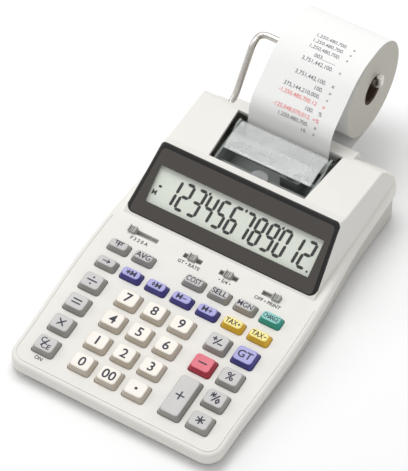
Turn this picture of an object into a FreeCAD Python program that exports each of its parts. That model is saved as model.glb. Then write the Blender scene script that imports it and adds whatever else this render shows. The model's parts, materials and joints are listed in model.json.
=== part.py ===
import FreeCAD, Part
import math
import os

import Sketcher

# A desktop printing calculator with its paper roll, as separate pieces.
# Units are millimetres.  +Z is up, +Y points to the rear and +X to the right.
# The origin is under the middle of the whole machine, roll included, on the desk.
#
# Three working frames are used:
#   case frame   x across, v from the case's front edge to the rear, z above the desk
#   deck frame   x across, s along the tilted keyboard deck, n out of it
#   window frame x across, u up the sloping display window, n out of it

DRIVING_SIZES = {
    # case outline, seen from above
    "case_width": 150.0, "case_length": 230.0,
    "nose_pinch": 2.1, "waist_pinch": 4.7, "tail_pinch": 5.0,
    "front_corner": 11.0, "rear_corner": 12.0,
    "widest_station": 80.0, "pinch_station": 138.0, "waist_station": 170.0,
    "pinch_depth": 2.0,
    # heights
    "foot_height": 2.0, "deck_front": 12.0, "deck_tilt": 5.0, "belt_front": 4.5,
    "case_wall": 2.2, "floor_wall": 1.8, "seam_gap": 0.4, "belt_undercut": 1.6,
    "rim_round": 2.3, "groove_land": 0.4, "groove_width": 0.7, "groove_depth": 0.4, "groove_end": 118.0,
    # display block
    "window_setback": 104.8, "window_lift": 0.95, "window_slope": 36.8, "window_length": 47.6,
    "window_thick": 2.5, "window_fit": 0.15, "window_foot_inset": 7.7,
    "window_head_inset": 12.6, "window_foot_round": 5.0, "window_head_round": 3.0,
    "hump_corner_inset": 1.2, "hump_flare": 0.018, "hump_lean": 0.196, "brow_run": 6.0, "brow_drop": 2.0,
    "roof_run": 41.7, "roof_drop": 0.7, "tail_run": 10.0, "tail_drop": 2.2,
    "tail_foot_back": 2.5, "tail_foot_height": 32.0, "hump_round": 1.2,
    "shoulder_half": 43.0, "shoulder_cut": 4.5, "shoulder_drop": 1.2,
    "lcd_width": 120.0, "lcd_height": 28.0, "lcd_thick": 2.6, "lcd_start": 7.65, "lcd_gap": 0.3,
    "lcd_fit": 0.3,
    # printer opening, its halves measured outward from the printer's side plates
    "opening_front_clear": 0.7, "opening_rear_clear": 4.2, "opening_start": 44.3,
    "opening_length": 41.5,
    # keys
    "key_width": 14.7, "key_depth": 12.6, "small_key_width": 14.2, "small_key_depth": 8.1,
    "key_height": 4.5, "key_taper": 1.3, "key_corner": 1.6, "key_round": 0.6,
    "key_travel": 2.0, "key_fit": 0.35, "flange_lip": 1.0, "flange_thick": 1.0,
    "key_play": 0.3, "stem_radius": 2.0, "stem_length": 1.2, "well_fit": 0.4,
    "feed_column": -54.75, "number_column": -29.15, "number_pitch": 18.78,
    "operator_column": 33.46, "total_column": 52.42,
    "large_row": 18.2, "row_pitch": 17.1,
    "small_column": -37.05, "small_pitch": 17.91, "small_row": 85.65, "small_row_pitch": 14.1,
    # slide switches
    "switch_row": 115.0, "slot_width": 3.4, "knob_width": 5.2, "knob_depth": 4.6,
    "knob_height": 2.4, "knob_gap": 0.25, "knob_fit": 0.3,
    "rounding_slot": 20.7, "short_slot": 12.9,
    "rounding_middle": -46.85, "rate_middle": -11.65, "decimal_middle": 13.7,
    "power_middle": 43.65,
    # keyboard layers
    "membrane_thick": 1.0, "board_thick": 1.6, "board_half": 62.6,
    "board_start": 8.5, "board_end": 120.5,
    # printer, its side plates measured outward from the paper
    "plate_clear": 2.75, "plate_thick": 1.5, "platen_radius": 5.163, "platen_setback": 18.5,
    "platen_axis_height": 32.7, "shaft_radius": 1.5, "run_fit": 0.05, "platen_lead": 0.15,
    "gear_module": 0.8, "platen_teeth": 24.0, "pinion_teeth": 10.0, "mesh_play": 0.15,
    "gear_thick": 3.0, "gear_clear": 3.5, "motor_radius": 10.5, "motor_length": 15.5,
    "motor_gap": 2.0,
    "rail_setback": 40.0, "rail_height": 37.5, "carriage_width": 14.0, "carriage_depth": 13.0,
    "carriage_height": 10.5, "carriage_rest": 15.0,
    "ink_radius": 6.0, "ink_height": 4.6, "ink_setback": 54.0, "ink_offset": -2.0,
    "tray_height": 37.0,
    "cover_play": 0.9, "cover_front": 48.2, "cover_rear": 25.2, "cover_thick": 1.5,
    "cover_front_height": 47.6, "cover_crown_height": 50.4, "cover_rear_height": 49.4,
    "hinge_setback": 26.0, "hinge_height": 47.2, "hinge_radius": 1.2,
    # paper
    "paper_width": 57.5, "paper_thick": 0.3, "paper_gap": 0.2,
    "roll_radius": 32.7, "roll_bore": 8.5, "roll_back": 33.3, "roll_height": 56.5,
    "tape_rise_height": 64.5, "tape_rise_back": 19.4, "tape_crest_back": 13.8,
    "tape_low_round": 18.0, "tape_high_round": 38.0, "tape_wrap": 30.0,
    # roll arm
    "wire_radius": 2.2, "arm_side": 52.0, "arm_pivot_setback": 8.6, "arm_pivot_height": 27.5,
    "arm_knee_back": 3.0, "arm_knee_height": 34.8, "arm_shoulder_lead": 9.6,
    "arm_hook": 4.3, "arm_hook_height": 8.0, "journal_length": 7.0,
    # base
    "foot_radius": 6.0, "foot_inset": 17.0, "foot_setback": 20.0,
    "boss_radius": 3.2, "boss_inset": 8.0, "boss_front": 22.0, "boss_rear": 8.0,
    "pilot_radius": 1.25, "screw_radius": 1.2, "screw_bite": 4.6, "head_radius": 2.6,
    "head_height": 1.5,
    "bay_half": 53.0, "bay_front": 99.0, "bay_depth": 34.0, "bay_height": 16.6,
    "bay_wall": 1.4, "door_thick": 1.2, "door_lap": 3.0, "door_fit": 0.25, "door_travel": 8.0,
    "jack_offset": 50.0, "jack_height": 13.0, "jack_radius": 4.2, "jack_bore": 2.75,
    "jack_depth": 12.0, "jack_pin": 1.0,
}

# sizes that follow others through a clearance
TIED_SIZES = {
    "plate_gap": "=paper_width + 2 * plate_clear",
    "platen_half": "=paper_width / 2 - platen_lead",
    "cover_half": "=plate_gap / 2 - cover_play",
    "gear_start": "=plate_gap / 2 + plate_thick + gear_clear",
    "opening_front_half": "=plate_gap / 2 + plate_thick + opening_front_clear",
    "opening_rear_half": "=plate_gap / 2 + plate_thick + opening_rear_clear",
}

LARGE_KEYS = [
    ("clear", "0", "00", "point", None, "total"),
    ("multiply", "1", "2", "3", "plus", "subtotal"),
    ("equals", "4", "5", "6", "minus", "percent"),
    ("divide", "7", "8", "9", "sign", "grand_total"),
]
SMALL_KEYS = [
    ("shift", "memory_total", "memory_subtotal", "memory_minus", "memory_plus",
     "tax_plus", "tax_minus"),
    ("paper_feed", "average", None, "cost", "sell", "margin", "change"),
]
TALL_KEY = "plus"

doc = FreeCAD.newDocument("PrintingCalculator")
sheet = doc.addObject("Spreadsheet::Sheet", "Sizes")
for line, (word, number) in enumerate((DRIVING_SIZES | TIED_SIZES).items(), start=1):
    sheet.set(f"A{line}", word)
    sheet.set(f"B{line}", str(number))
    sheet.setAlias(f"B{line}", word)
doc.recompute()

subparts = []


def size(word):
    """The value of one cell of the sheet."""
    return float(sheet.get(word))


def vec(x, y, z):
    return FreeCAD.Vector(x, y, z)


# ---------------------------------------------------------------- derived places

HALF_WIDTH = size("case_width") / 2
LENGTH = size("case_length")
WALL = size("case_wall")
TILT = math.radians(size("deck_tilt"))
SLOPE = math.radians(size("window_slope"))
ROLL_V = LENGTH + size("roll_back")
FRONT_Y = -(ROLL_V + size("roll_radius")) / 2
CASE_FRAME = FreeCAD.Placement(vec(0, FRONT_Y, 0), FreeCAD.Rotation())
DECK_FRAME = FreeCAD.Placement(vec(0, FRONT_Y, size("deck_front")),
                               FreeCAD.Rotation(vec(1, 0, 0), size("deck_tilt")))
REACH = 2 * LENGTH          # longer than the machine, for cutting prisms


def deck_z(v):
    """Height of the keyboard deck's surface."""
    return size("deck_front") + v * math.tan(TILT)


def belt_z(v):
    """Height of the plane where the two case halves meet."""
    return size("belt_front") + v * math.tan(TILT)


WINDOW_V = LENGTH - size("window_setback")
WINDOW_Z = deck_z(WINDOW_V) + size("window_lift")
WINDOW_FRAME = FreeCAD.Placement(vec(0, WINDOW_V, WINDOW_Z),
                                 FreeCAD.Rotation(vec(1, 0, 0), size("window_slope")))
WINDOW_FOOT_HALF = HALF_WIDTH - size("window_foot_inset")
WINDOW_HEAD_HALF = HALF_WIDTH - size("window_head_inset")
WINDOW_TOP_V = WINDOW_V + size("window_length") * math.cos(SLOPE)
WINDOW_TOP_Z = WINDOW_Z + size("window_length") * math.sin(SLOPE)

PLATEN_V = LENGTH - size("platen_setback")
PLATEN_Z = size("platen_axis_height")
MESH_DISTANCE = (size("gear_module") * (size("platen_teeth") + size("pinion_teeth")) / 2
                 + size("mesh_play"))
MOTOR_V = PLATEN_V - MESH_DISTANCE
MOTOR_Z = PLATEN_Z
ARM_WIRE_Z = (size("roll_height") + size("roll_bore") - size("wire_radius")
              - size("run_fit"))
ARM_PIVOT_V = LENGTH - size("arm_pivot_setback")
FLANGE_TOP = -(WALL + size("key_play"))
FLANGE_FOOT = FLANGE_TOP - size("flange_thick")
MEMBRANE_TOP = FLANGE_FOOT - size("key_travel") - size("key_play")
BOARD_TOP = MEMBRANE_TOP - size("membrane_thick")


# ---------------------------------------------------------------- parametric helpers

def cell(word):
    """An expression that reads one cell of the sheet."""
    return f"Sizes.{word}"


def bind(item, **expressions):
    """Tie properties of an object to expressions; __ in a name stands for a dot."""
    for name, expression in expressions.items():
        item.setExpression(name.replace("__", "."), expression)


def new_body(label):
    body = doc.addObject("PartDesign::Body", label)
    body.Label = label
    subparts.append(body)
    return body


def on_plane(body, name, role, height):
    """An empty sketch on one of the body's origin planes, height above it."""
    plane = next(item for item in body.Origin.OriginFeatures if item.Role == role)
    sketch = body.newObject("Sketcher::SketchObject", name)
    sketch.AttachmentSupport = [(plane, "")]
    sketch.MapMode = "FlatFace"
    sketch.setExpression("AttachmentOffset.Base.z", height)
    return sketch


def disc_sketch(body, name, radius, height, role="XY_Plane"):
    sketch = on_plane(body, name, role, height)
    sketch.addGeometry(Part.Circle(vec(0, 0, 0), vec(0, 0, 1), 1.0), False)
    sketch.addConstraint(Sketcher.Constraint("Coincident", 0, 3, -1, 1))
    row = sketch.addConstraint(Sketcher.Constraint("Radius", 0, 1.0))
    sketch.setExpression(f"Constraints[{row}]", radius)
    return sketch


def rounded_sketch(body, name, width, depth, corner, height):
    """A centred rectangle with round corners, bound to four expressions."""
    sketch = on_plane(body, name, "XY_Plane", height)
    radius = float(sheet.evalExpression(corner))
    half_x = float(sheet.evalExpression(f"({width}) / 2"))
    half_y = float(sheet.evalExpression(f"({depth}) / 2"))
    x, y = half_x - radius, half_y - radius
    for x0, y0, x1, y1 in ((-x, -half_y, x, -half_y), (half_x, -y, half_x, y),
                           (x, half_y, -x, half_y), (-half_x, y, -half_x, -y)):
        sketch.addGeometry(Part.LineSegment(vec(x0, y0, 0), vec(x1, y1, 0)), False)
    for turn, (cx, cy) in enumerate(((x, -y), (x, y), (-x, y), (-x, -y))):
        start = (turn - 1) * math.pi / 2
        circle = Part.Circle(vec(cx, cy, 0), vec(0, 0, 1), radius)
        sketch.addGeometry(Part.ArcOfCircle(circle, start, start + math.pi / 2), False)
    for turn in range(4):
        sketch.addConstraint(Sketcher.Constraint("Tangent", turn, 2, 4 + turn, 1))
        sketch.addConstraint(Sketcher.Constraint("Tangent", 4 + turn, 2, (turn + 1) % 4, 1))
    for turn in (0, 2):
        sketch.addConstraint(Sketcher.Constraint("Horizontal", turn))
        sketch.addConstraint(Sketcher.Constraint("Vertical", turn + 1))
    sketch.addConstraint(Sketcher.Constraint("Equal", 4, 5))
    sketch.addConstraint(Sketcher.Constraint("Equal", 4, 6))
    sketch.addConstraint(Sketcher.Constraint("Symmetric", 7, 3, 5, 3, -1, 1))
    for kind, first, second, expression, now in (("DistanceX", 3, 1, width, 2 * half_x),
                                                 ("DistanceY", 0, 2, depth, 2 * half_y)):
        row = sketch.addConstraint(Sketcher.Constraint(kind, first, 1, second, 1, now))
        sketch.setExpression(f"Constraints[{row}]", expression)
    row = sketch.addConstraint(Sketcher.Constraint("Radius", 4, radius))
    sketch.setExpression(f"Constraints[{row}]", corner)
    return sketch


def pad(body, sketch, length):
    feature = body.newObject("PartDesign::Pad", f"{sketch.Name}_pad")
    feature.Profile = sketch
    feature.setExpression("Length", length)
    sketch.Visibility = False
    return feature


def pocket(body, sketch, length, reverse):
    feature = body.newObject("PartDesign::Pocket", f"{sketch.Name}_pocket")
    feature.Profile = sketch
    feature.setExpression("Length", length)
    feature.Reversed = reverse
    return feature


def round_edges(body, feature, choose, radius):
    """Fillet the edges of a feature that choose(edge) picks."""
    doc.recompute()
    names = [f"Edge{place}" for place, edge in enumerate(feature.Shape.Edges, start=1) if choose(edge)]
    fillet = body.newObject("PartDesign::Fillet", f"{feature.Name}_round")
    fillet.Base = (feature, names)
    fillet.setExpression("Radius", radius)
    return fillet


def made_shape(label, shape, placement=CASE_FRAME):
    """A sub-part whose shape comes straight from Part's functions."""
    item = doc.addObject("Part::Feature", label)
    item.Label = label
    item.Shape = shape.removeSplitter()
    item.Placement = placement
    subparts.append(item)
    return item


# ---------------------------------------------------------------- plain solids

def block(x0, x1, y0, y1, z0, z1):
    return Part.makeBox(x1 - x0, y1 - y0, z1 - z0, vec(x0, y0, z0))


def rod(radius, x0, x1, v, z):
    """A cylinder along X."""
    return Part.makeCylinder(radius, x1 - x0, vec(x0, v, z), vec(1, 0, 0))


def post(radius, x, v, z0, z1):
    """A cylinder along Z."""
    return Part.makeCylinder(radius, z1 - z0, vec(x, v, z0))


def side_prism(points, half):
    """A closed outline of (v, z) points, drawn out to plus and minus half in x."""
    corners = [vec(-half, v, z) for v, z in points]
    face = Part.Face(Part.makePolygon(corners + corners[:1]))
    return face.extrude(vec(2 * half, 0, 0))


def inset_outline(points, distances):
    """Move each side of a closed outline inwards by its own distance."""
    lines = []
    for here, there, distance in zip(points, points[1:] + points[:1], distances):
        run = math.hypot(there[0] - here[0], there[1] - here[1])
        along = ((there[0] - here[0]) / run, (there[1] - here[1]) / run)
        inward = (along[1], -along[0])
        lines.append(((here[0] + inward[0] * distance, here[1] + inward[1] * distance), along))
    corners = []
    for (p, a), (q, b) in zip(lines[-1:] + lines[:-1], lines):
        cross = a[0] * b[1] - a[1] * b[0]
        share = ((q[0] - p[0]) * b[1] - (q[1] - p[1]) * b[0]) / cross
        corners.append((p[0] + a[0] * share, p[1] + a[1] * share))
    return corners


def rounded_path(points, radii):
    """Straight runs through points, joined by tangent arcs of the given radii."""
    edges = []
    start = points[0]
    for before, corner, after, radius in zip(points, points[1:], points[2:], radii):
        into = (corner - before).normalize()
        out = (after - corner).normalize()
        turn = into.getAngle(out)
        reach = radius * math.tan(turn / 2)
        enter = corner - into * reach
        leave = corner + out * reach
        bisector = (out - into).normalize()
        centre = corner + bisector * (radius / math.cos(turn / 2))
        middle = centre - bisector * radius
        edges.append(Part.LineSegment(start, enter).toShape())
        edges.append(Part.Arc(enter, middle, leave).toShape())
        start = leave
    edges.append(Part.LineSegment(start, points[-1]).toShape())
    return edges


def swept(profile, edges):
    """A solid that follows a path of edges with a closed profile wire."""
    return Part.Wire(edges).makePipeShell([profile], True, False)


# ---------------------------------------------------------------- case outline

def plan_outline(inset):
    """The case's outline from above, moved inwards by inset, as a wire at z = 0."""
    front_r = size("front_corner") - inset
    rear_r = size("rear_corner") - inset
    nose = HALF_WIDTH - size("nose_pinch") - inset
    tail = HALF_WIDTH - size("tail_pinch") - inset
    side = [
        vec(nose, inset + front_r, 0),
        vec(HALF_WIDTH - inset, size("widest_station"), 0),
        vec(HALF_WIDTH - size("pinch_depth") - inset, size("pinch_station"), 0),
        vec(HALF_WIDTH - size("waist_pinch") - inset, size("waist_station"), 0),
        vec(tail, LENGTH - inset - rear_r, 0),
    ]
    flank = Part.BSplineCurve()
    flank.interpolate(Points=side, InitialTangent=vec(0, 1, 0), FinalTangent=vec(0, 1, 0))
    sweep = math.sqrt(0.5)
    front_mid = vec(nose - front_r * (1 - sweep), inset + front_r * (1 - sweep), 0)
    rear_mid = vec(tail - rear_r * (1 - sweep), LENGTH - inset - rear_r * (1 - sweep), 0)
    right = [
        Part.LineSegment(vec(0, inset, 0), vec(nose - front_r, inset, 0)).toShape(),
        Part.Arc(vec(nose - front_r, inset, 0), front_mid, side[0]).toShape(),
        flank.toShape(),
        Part.Arc(side[-1], rear_mid, vec(tail - rear_r, LENGTH - inset, 0)).toShape(),
        Part.LineSegment(vec(tail - rear_r, LENGTH - inset, 0), vec(0, LENGTH - inset, 0)).toShape(),
    ]
    left = [edge.mirror(vec(0, 0, 0), vec(1, 0, 0)) for edge in right]
    return Part.Wire(Part.__sortEdges__(right + left))


def plan_prism(inset, z0, z1):
    outline = plan_outline(inset)
    outline.translate(vec(0, 0, z0))
    return Part.Face(outline).extrude(vec(0, 0, z1 - z0))


def between_planes(low, high):
    """The space between two planes parallel to the deck, given at the front edge."""
    rise = REACH * math.tan(TILT)
    points = [(-REACH, low - rise), (-REACH, high - rise), (REACH, high + rise), (REACH, low + rise)]
    return side_prism(points, REACH)


def hump_sides(inset):
    """The space between the display block's two leaning side faces."""
    rings = []
    for v in (0.0, LENGTH + size("roll_back")):
        flare = size("hump_flare") * (v - WINDOW_TOP_V)
        low, high = -10.0, WINDOW_TOP_Z + 20.0
        foot = WINDOW_HEAD_HALF + flare + size("hump_lean") * (WINDOW_TOP_Z - low) - inset
        head = WINDOW_HEAD_HALF + flare + size("hump_lean") * (WINDOW_TOP_Z - high) - inset
        rings.append([vec(-foot, v, low), vec(foot, v, low), vec(head, v, high), vec(-head, v, high)])
    near, far = rings
    walls = [near, far]
    for here in range(4):
        there = (here + 1) % 4
        walls.append([near[here], near[there], far[there], far[here]])
    faces = [Part.Face(Part.makePolygon(wall + wall[:1])) for wall in walls]
    solid = Part.Solid(Part.Shell(faces))
    return solid if solid.Volume > 0 else solid.reversed()


def hump_profile():
    """Side outline of the display and printer block, clockwise from the slope's foot."""
    buried = 8.0
    brow_v = WINDOW_TOP_V + size("brow_run")
    brow_z = WINDOW_TOP_Z - size("brow_drop")
    roof_v = brow_v + size("roof_run")
    roof_z = brow_z - size("roof_drop")
    tail_v = roof_v + size("tail_run")
    tail_z = roof_z - size("tail_drop")
    foot_v = LENGTH - size("tail_foot_back")
    return [
        (WINDOW_V - buried * math.cos(SLOPE), WINDOW_Z - buried * math.sin(SLOPE)),
        (WINDOW_TOP_V, WINDOW_TOP_Z),
        (brow_v, brow_z),
        (roof_v, roof_z),
        (tail_v, tail_z),
        (foot_v, size("tail_foot_height")),
        (foot_v, belt_z(foot_v) + WALL),
    ]


BROW_V = WINDOW_TOP_V + size("brow_run")
ROOF_V = BROW_V + size("roof_run")
ROOF_Z = WINDOW_TOP_Z - size("brow_drop") - size("roof_drop")


def shoulder_cuts(inset):
    """What the low rear shoulders take off each side of the raised middle band."""
    tail_v = ROOF_V + size("tail_run") - size("shoulder_cut")
    foot_v = LENGTH - size("tail_foot_back")
    high_z = WINDOW_TOP_Z + 10.0
    line = [(ROOF_V + 1.0, ROOF_Z + 0.4), (tail_v, ROOF_Z - size("tail_drop") - size("shoulder_drop")),
            (foot_v, size("tail_foot_height"))]
    wedge = [(v - inset, z - inset) for v, z in line] + [(LENGTH, size("tail_foot_height") - inset),
                                                         (LENGTH, high_z), (ROOF_V + 1.0 - inset, high_z)]
    tools = []
    for low, high in ((-REACH, inset - size("shoulder_half")), (size("shoulder_half") - inset, REACH)):
        corners = [vec(low, v, z) for v, z in reversed(wedge)]
        tools.append(Part.Face(Part.makePolygon(corners + corners[:1])).extrude(vec(high - low, 0, 0)))
    return tools


def window_plate(grow, thick_grow):
    """The display window in the window frame, grown all round for its seat."""
    foot = WINDOW_FOOT_HALF + grow
    head = WINDOW_HEAD_HALF + grow
    top = size("window_length") + grow
    corners = [vec(-foot, -grow, 0), vec(foot, -grow, 0), vec(head, top, 0), vec(-head, top, 0)]
    face = Part.Face(Part.makePolygon(corners + corners[:1]))
    face.translate(vec(0, 0, -size("window_thick") - thick_grow))
    plate = face.extrude(vec(0, 0, size("window_thick") + thick_grow + max(0.0, 8 * thick_grow)))
    uprights = [edge for edge in plate.Edges if abs(edge.BoundBox.ZLength) > size("window_thick") / 2]
    low = [edge for edge in uprights if edge.BoundBox.YMax < top / 2]
    high = [edge for edge in uprights if edge.BoundBox.YMin > top / 2]
    plate = plate.makeFillet(size("window_foot_round") + grow, low)
    high = [edge for edge in plate.Edges
            if edge.BoundBox.ZLength > size("window_thick") / 2 and edge.BoundBox.YLength < 0.01
            and edge.BoundBox.YMin > top - 0.01]
    return plate.makeFillet(size("window_head_round") + grow, high)


def placed(shape, frame):
    moved = shape.copy()
    moved.Placement = frame
    return moved


def deck_block(x0, x1, s0, s1, n0, n1):
    """A block given in the deck frame, brought to the case frame."""
    frame = FreeCAD.Placement(vec(0, 0, size("deck_front")),
                              FreeCAD.Rotation(vec(1, 0, 0), size("deck_tilt")))
    return placed(block(x0, x1, s0, s1, n0, n1), frame)


# ---------------------------------------------------------------- key and switch layout

def key_layout():
    """Every key as (name, x, s, width word, depth word, is tall)."""
    layout = []
    for row, names in enumerate(LARGE_KEYS):
        columns = [size("feed_column")]
        columns += [size("number_column") + step * size("number_pitch") for step in range(3)]
        columns += [size("operator_column"), size("total_column")]
        for name, x in zip(names, columns):
            if name is None:
                continue
            tall = name == TALL_KEY
            s = size("large_row") + row * size("row_pitch")
            if tall:
                s -= size("row_pitch") / 2
            layout.append((name, x, s, "key_width", "key_depth", tall))
    for row, names in enumerate(SMALL_KEYS):
        columns = [size("feed_column")]
        columns += [size("small_column") + step * size("small_pitch") for step in range(6)]
        for name, x in zip(names, columns):
            if name is not None:
                s = size("small_row") + row * size("small_row_pitch")
                layout.append((name, x, s, "small_key_width", "small_key_depth", False))
    return layout


SWITCHES = [
    # name, middle of its slot, slot length, where the knob rests: -1 left, 0 middle, 1 right
    ("rounding", "rounding_middle", "rounding_slot", -1),
    ("rate", "rate_middle", "short_slot", 0),
    ("decimal", "decimal_middle", "short_slot", 0),
    ("power", "power_middle", "short_slot", 1),
]
KEYS = key_layout()


def boss_places():
    """Where the case screws stand: (x, v)."""
    front_x = HALF_WIDTH - size("boss_inset")
    rear_x = HALF_WIDTH - size("waist_pinch") - size("boss_inset")
    rear_v = LENGTH - size("boss_rear")
    front_v = size("boss_front")
    return [(-front_x, front_v), (front_x, front_v), (-rear_x, rear_v), (rear_x, rear_v)]


# ---------------------------------------------------------------- upper case

def upper_case():
    high_z = WINDOW_TOP_Z + 10.0
    slab = plan_prism(0, -5, high_z).common(between_planes(size("belt_front"), size("deck_front")))
    rim = [edge for edge in slab.Edges
           if abs(edge.CenterOfMass.z - deck_z(edge.CenterOfMass.y)) < 0.05]
    slab = slab.makeFillet(size("rim_round"), rim)

    profile = hump_profile()
    hump = side_prism(profile, REACH).common(hump_sides(0))
    crest = [edge for edge in hump.Edges
             if edge.BoundBox.XLength < edge.BoundBox.YLength
             and edge.BoundBox.ZMin > WINDOW_TOP_Z - 8 and edge.BoundBox.YMin > WINDOW_TOP_V - 1]
    cross = [edge for edge in hump.Edges
             if edge.BoundBox.YLength < 0.01 and edge.BoundBox.XLength > HALF_WIDTH
             and edge.CenterOfMass.y > ROOF_V + 1 and edge.CenterOfMass.z > WINDOW_TOP_Z - 8]
    hump = hump.makeFillet(size("hump_round"), crest + cross)
    hump = hump.common(plan_prism(size("hump_corner_inset"), -5, high_z)).cut(shoulder_cuts(0))
    outer = slab.fuse(hump)

    # the hollow inside, open at the belt
    slab_room = plan_prism(WALL, -5, high_z).common(
        between_planes(-REACH / 4, size("deck_front") - WALL))
    seat = size("window_thick") + WALL
    room_profile = inset_outline(profile, [seat, WALL, WALL, WALL, WALL, WALL, -2 * WALL])
    hump_room = side_prism(room_profile, REACH).common(hump_sides(WALL))
    hump_room = hump_room.common(plan_prism(size("hump_corner_inset") + WALL, -5, high_z))
    hump_room = hump_room.cut(shoulder_cuts(WALL))
    bosses = []
    for x, v in boss_places():
        foot = belt_z(v)
        boss = post(size("boss_radius"), x, v, foot, min(high_z, foot + 2.2 * size("screw_bite")))
        boss = boss.common(outer)
        bosses.append(boss.cut(post(size("pilot_radius"), x, v, foot - 1, foot + size("screw_bite") + 0.2)))
    shell = outer.cut(slab_room).cut(hump_room)
    for boss in bosses:
        shell = shell.fuse(boss)

    # openings: keys, switches, display, printer, paper inlet and arm
    tools = []
    fit = size("key_fit")
    for _, x, s, width, depth, tall in KEYS:
        half_x = size(width) / 2 + fit
        half_s = (size(depth) + (size("row_pitch") if tall else 0)) / 2 + fit
        tool = block(-half_x, half_x, -half_s, half_s, -2 * WALL, WALL)
        uprights = [edge for edge in tool.Edges if edge.BoundBox.ZLength > WALL]
        tool = tool.makeFillet(size("key_corner") + fit, uprights)
        frame = FreeCAD.Placement(vec(0, 0, size("deck_front")),
                                  FreeCAD.Rotation(vec(1, 0, 0), size("deck_tilt")))
        tools.append(placed(tool, frame.multiply(FreeCAD.Placement(vec(x, s, 0), FreeCAD.Rotation()))))
    row, reach = size("switch_row"), size("slot_width") / 2
    for _, middle, length, _ in SWITCHES:
        left, right = size(middle) - size(length) / 2, size(middle) + size(length) / 2
        tools.append(deck_block(left, right, row - reach, row + reach, -2 * WALL, WALL))
    window_frame = FreeCAD.Placement(vec(0, WINDOW_V, WINDOW_Z),
                                     FreeCAD.Rotation(vec(1, 0, 0), size("window_slope")))
    tools.append(placed(window_plate(size("window_fit"), size("window_fit")), window_frame))
    lcd_half = size("lcd_width") / 2 + size("lcd_fit")
    lcd_tool = block(-lcd_half, lcd_half, size("lcd_start") - size("lcd_fit"),
                     size("lcd_start") + size("lcd_height") + size("lcd_fit"), -12, 0)
    tools.append(placed(lcd_tool, window_frame))
    start = WINDOW_V + size("opening_start")
    mouth = [vec(-size("opening_front_half"), start, ROOF_Z - 12),
             vec(size("opening_front_half"), start, ROOF_Z - 12),
             vec(size("opening_rear_half"), start + size("opening_length"), ROOF_Z - 12),
             vec(-size("opening_rear_half"), start + size("opening_length"), ROOF_Z - 12)]
    tools.append(Part.Face(Part.makePolygon(mouth + mouth[:1])).extrude(vec(0, 0, 30)))
    inlet_half = size("paper_width") / 2 + 2.2
    inlet_z = belt_z(LENGTH) + size("seam_gap")
    tools.append(block(-inlet_half, inlet_half, LENGTH - 10, LENGTH + 5, inlet_z, inlet_z + 6))
    slot_half = size("wire_radius") + 0.5
    tools.append(block(-size("arm_side") - slot_half, -size("arm_side") + slot_half,
                       LENGTH - 9, LENGTH + 5, inlet_z, size("arm_pivot_height") + 15))
    groove_out = size("rim_round") + size("groove_land")
    groove_in = groove_out + size("groove_width")
    ring = plan_prism(groove_out, -5, high_z).cut(plan_prism(groove_in, -5, high_z))
    ring = ring.common(between_planes(size("deck_front") - size("groove_depth"), size("deck_front") + 2))
    tools.append(ring.common(block(-REACH, REACH, -5, size("groove_end"), -5, high_z)))
    for tool in tools:
        shell = shell.cut(tool)
    return shell


# ---------------------------------------------------------------- lower case

BAY_V0 = LENGTH - size("bay_front")
BAY_V1 = BAY_V0 + size("bay_depth")
FLOOR_TOP = size("foot_height") + size("floor_wall")
DOOR_ROOF = size("foot_height") + size("door_thick") + size("door_fit")


def lower_case():
    base = size("foot_height")
    top = size("belt_front") - size("seam_gap")
    undercut = size("belt_undercut")
    outer = plan_prism(undercut, base, WINDOW_TOP_Z).common(between_planes(-REACH, top))
    sole = [edge for edge in outer.Edges if edge.BoundBox.ZMax < base + 0.01]
    outer = outer.makeFillet(size("floor_wall") / 2, sole)
    room = plan_prism(undercut + WALL, FLOOR_TOP, WINDOW_TOP_Z)
    shell = outer.cut(room)

    # the battery bay stands up from the floor as a box with a roof
    wall = size("bay_wall")
    half = size("bay_half")
    bay_top = base + size("bay_height")
    lap = size("door_lap")
    recess_half = half + lap + size("door_fit")
    shell = shell.fuse(block(-half - wall, half + wall, BAY_V0 - wall, BAY_V1 + wall, base, bay_top + wall))
    shell = shell.fuse(block(-recess_half - wall, recess_half + wall, BAY_V0 - lap - wall,
                             BAY_V1 + lap + size("door_travel") + wall, base, DOOR_ROOF + size("floor_wall")))
    shell = shell.cut(block(-half, half, BAY_V0, BAY_V1, base - 1, bay_top))
    shell = shell.cut(block(-recess_half, recess_half, BAY_V0 - lap - size("door_fit"),
                            BAY_V1 + lap + size("door_travel") + size("door_fit"), base - 1, DOOR_ROOF))

    # screw columns meet the upper case's bosses at the belt
    for x, v in boss_places():
        joint = belt_z(v) - size("seam_gap")
        column = post(size("head_radius") + 1.2, x, v, base, joint).common(outer)
        shell = shell.fuse(column)
        shell = shell.cut(post(size("screw_radius") + 0.4, x, v, base - 1, joint + 1))
        shell = shell.cut(post(size("head_radius") + 0.2, x, v, base - 1, joint - size("floor_wall")))

    # journal block for the roll arm
    journal_end = -size("arm_side") + size("wire_radius") + 3.0
    start = ARM_PIVOT_V - size("wire_radius") - WALL
    cheek = 0.9
    block_top = size("arm_pivot_height") + size("wire_radius") + cheek
    shell = shell.fuse(block(journal_end, journal_end + size("journal_length"), start,
                             ARM_PIVOT_V + size("wire_radius") + cheek, base + 1, block_top))
    shell = shell.cut(rod(size("wire_radius") + size("run_fit"), journal_end - 1,
                          journal_end + size("journal_length") + 1, ARM_PIVOT_V,
                          size("arm_pivot_height")))
    # adaptor socket hole in the rear wall
    hole = Part.makeCylinder(size("jack_radius") + size("run_fit"), 20,
                             vec(size("jack_offset"), LENGTH - 15, size("jack_height")), vec(0, 1, 0))
    return shell.cut(hole)


# ---------------------------------------------------------------- printer pieces

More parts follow.
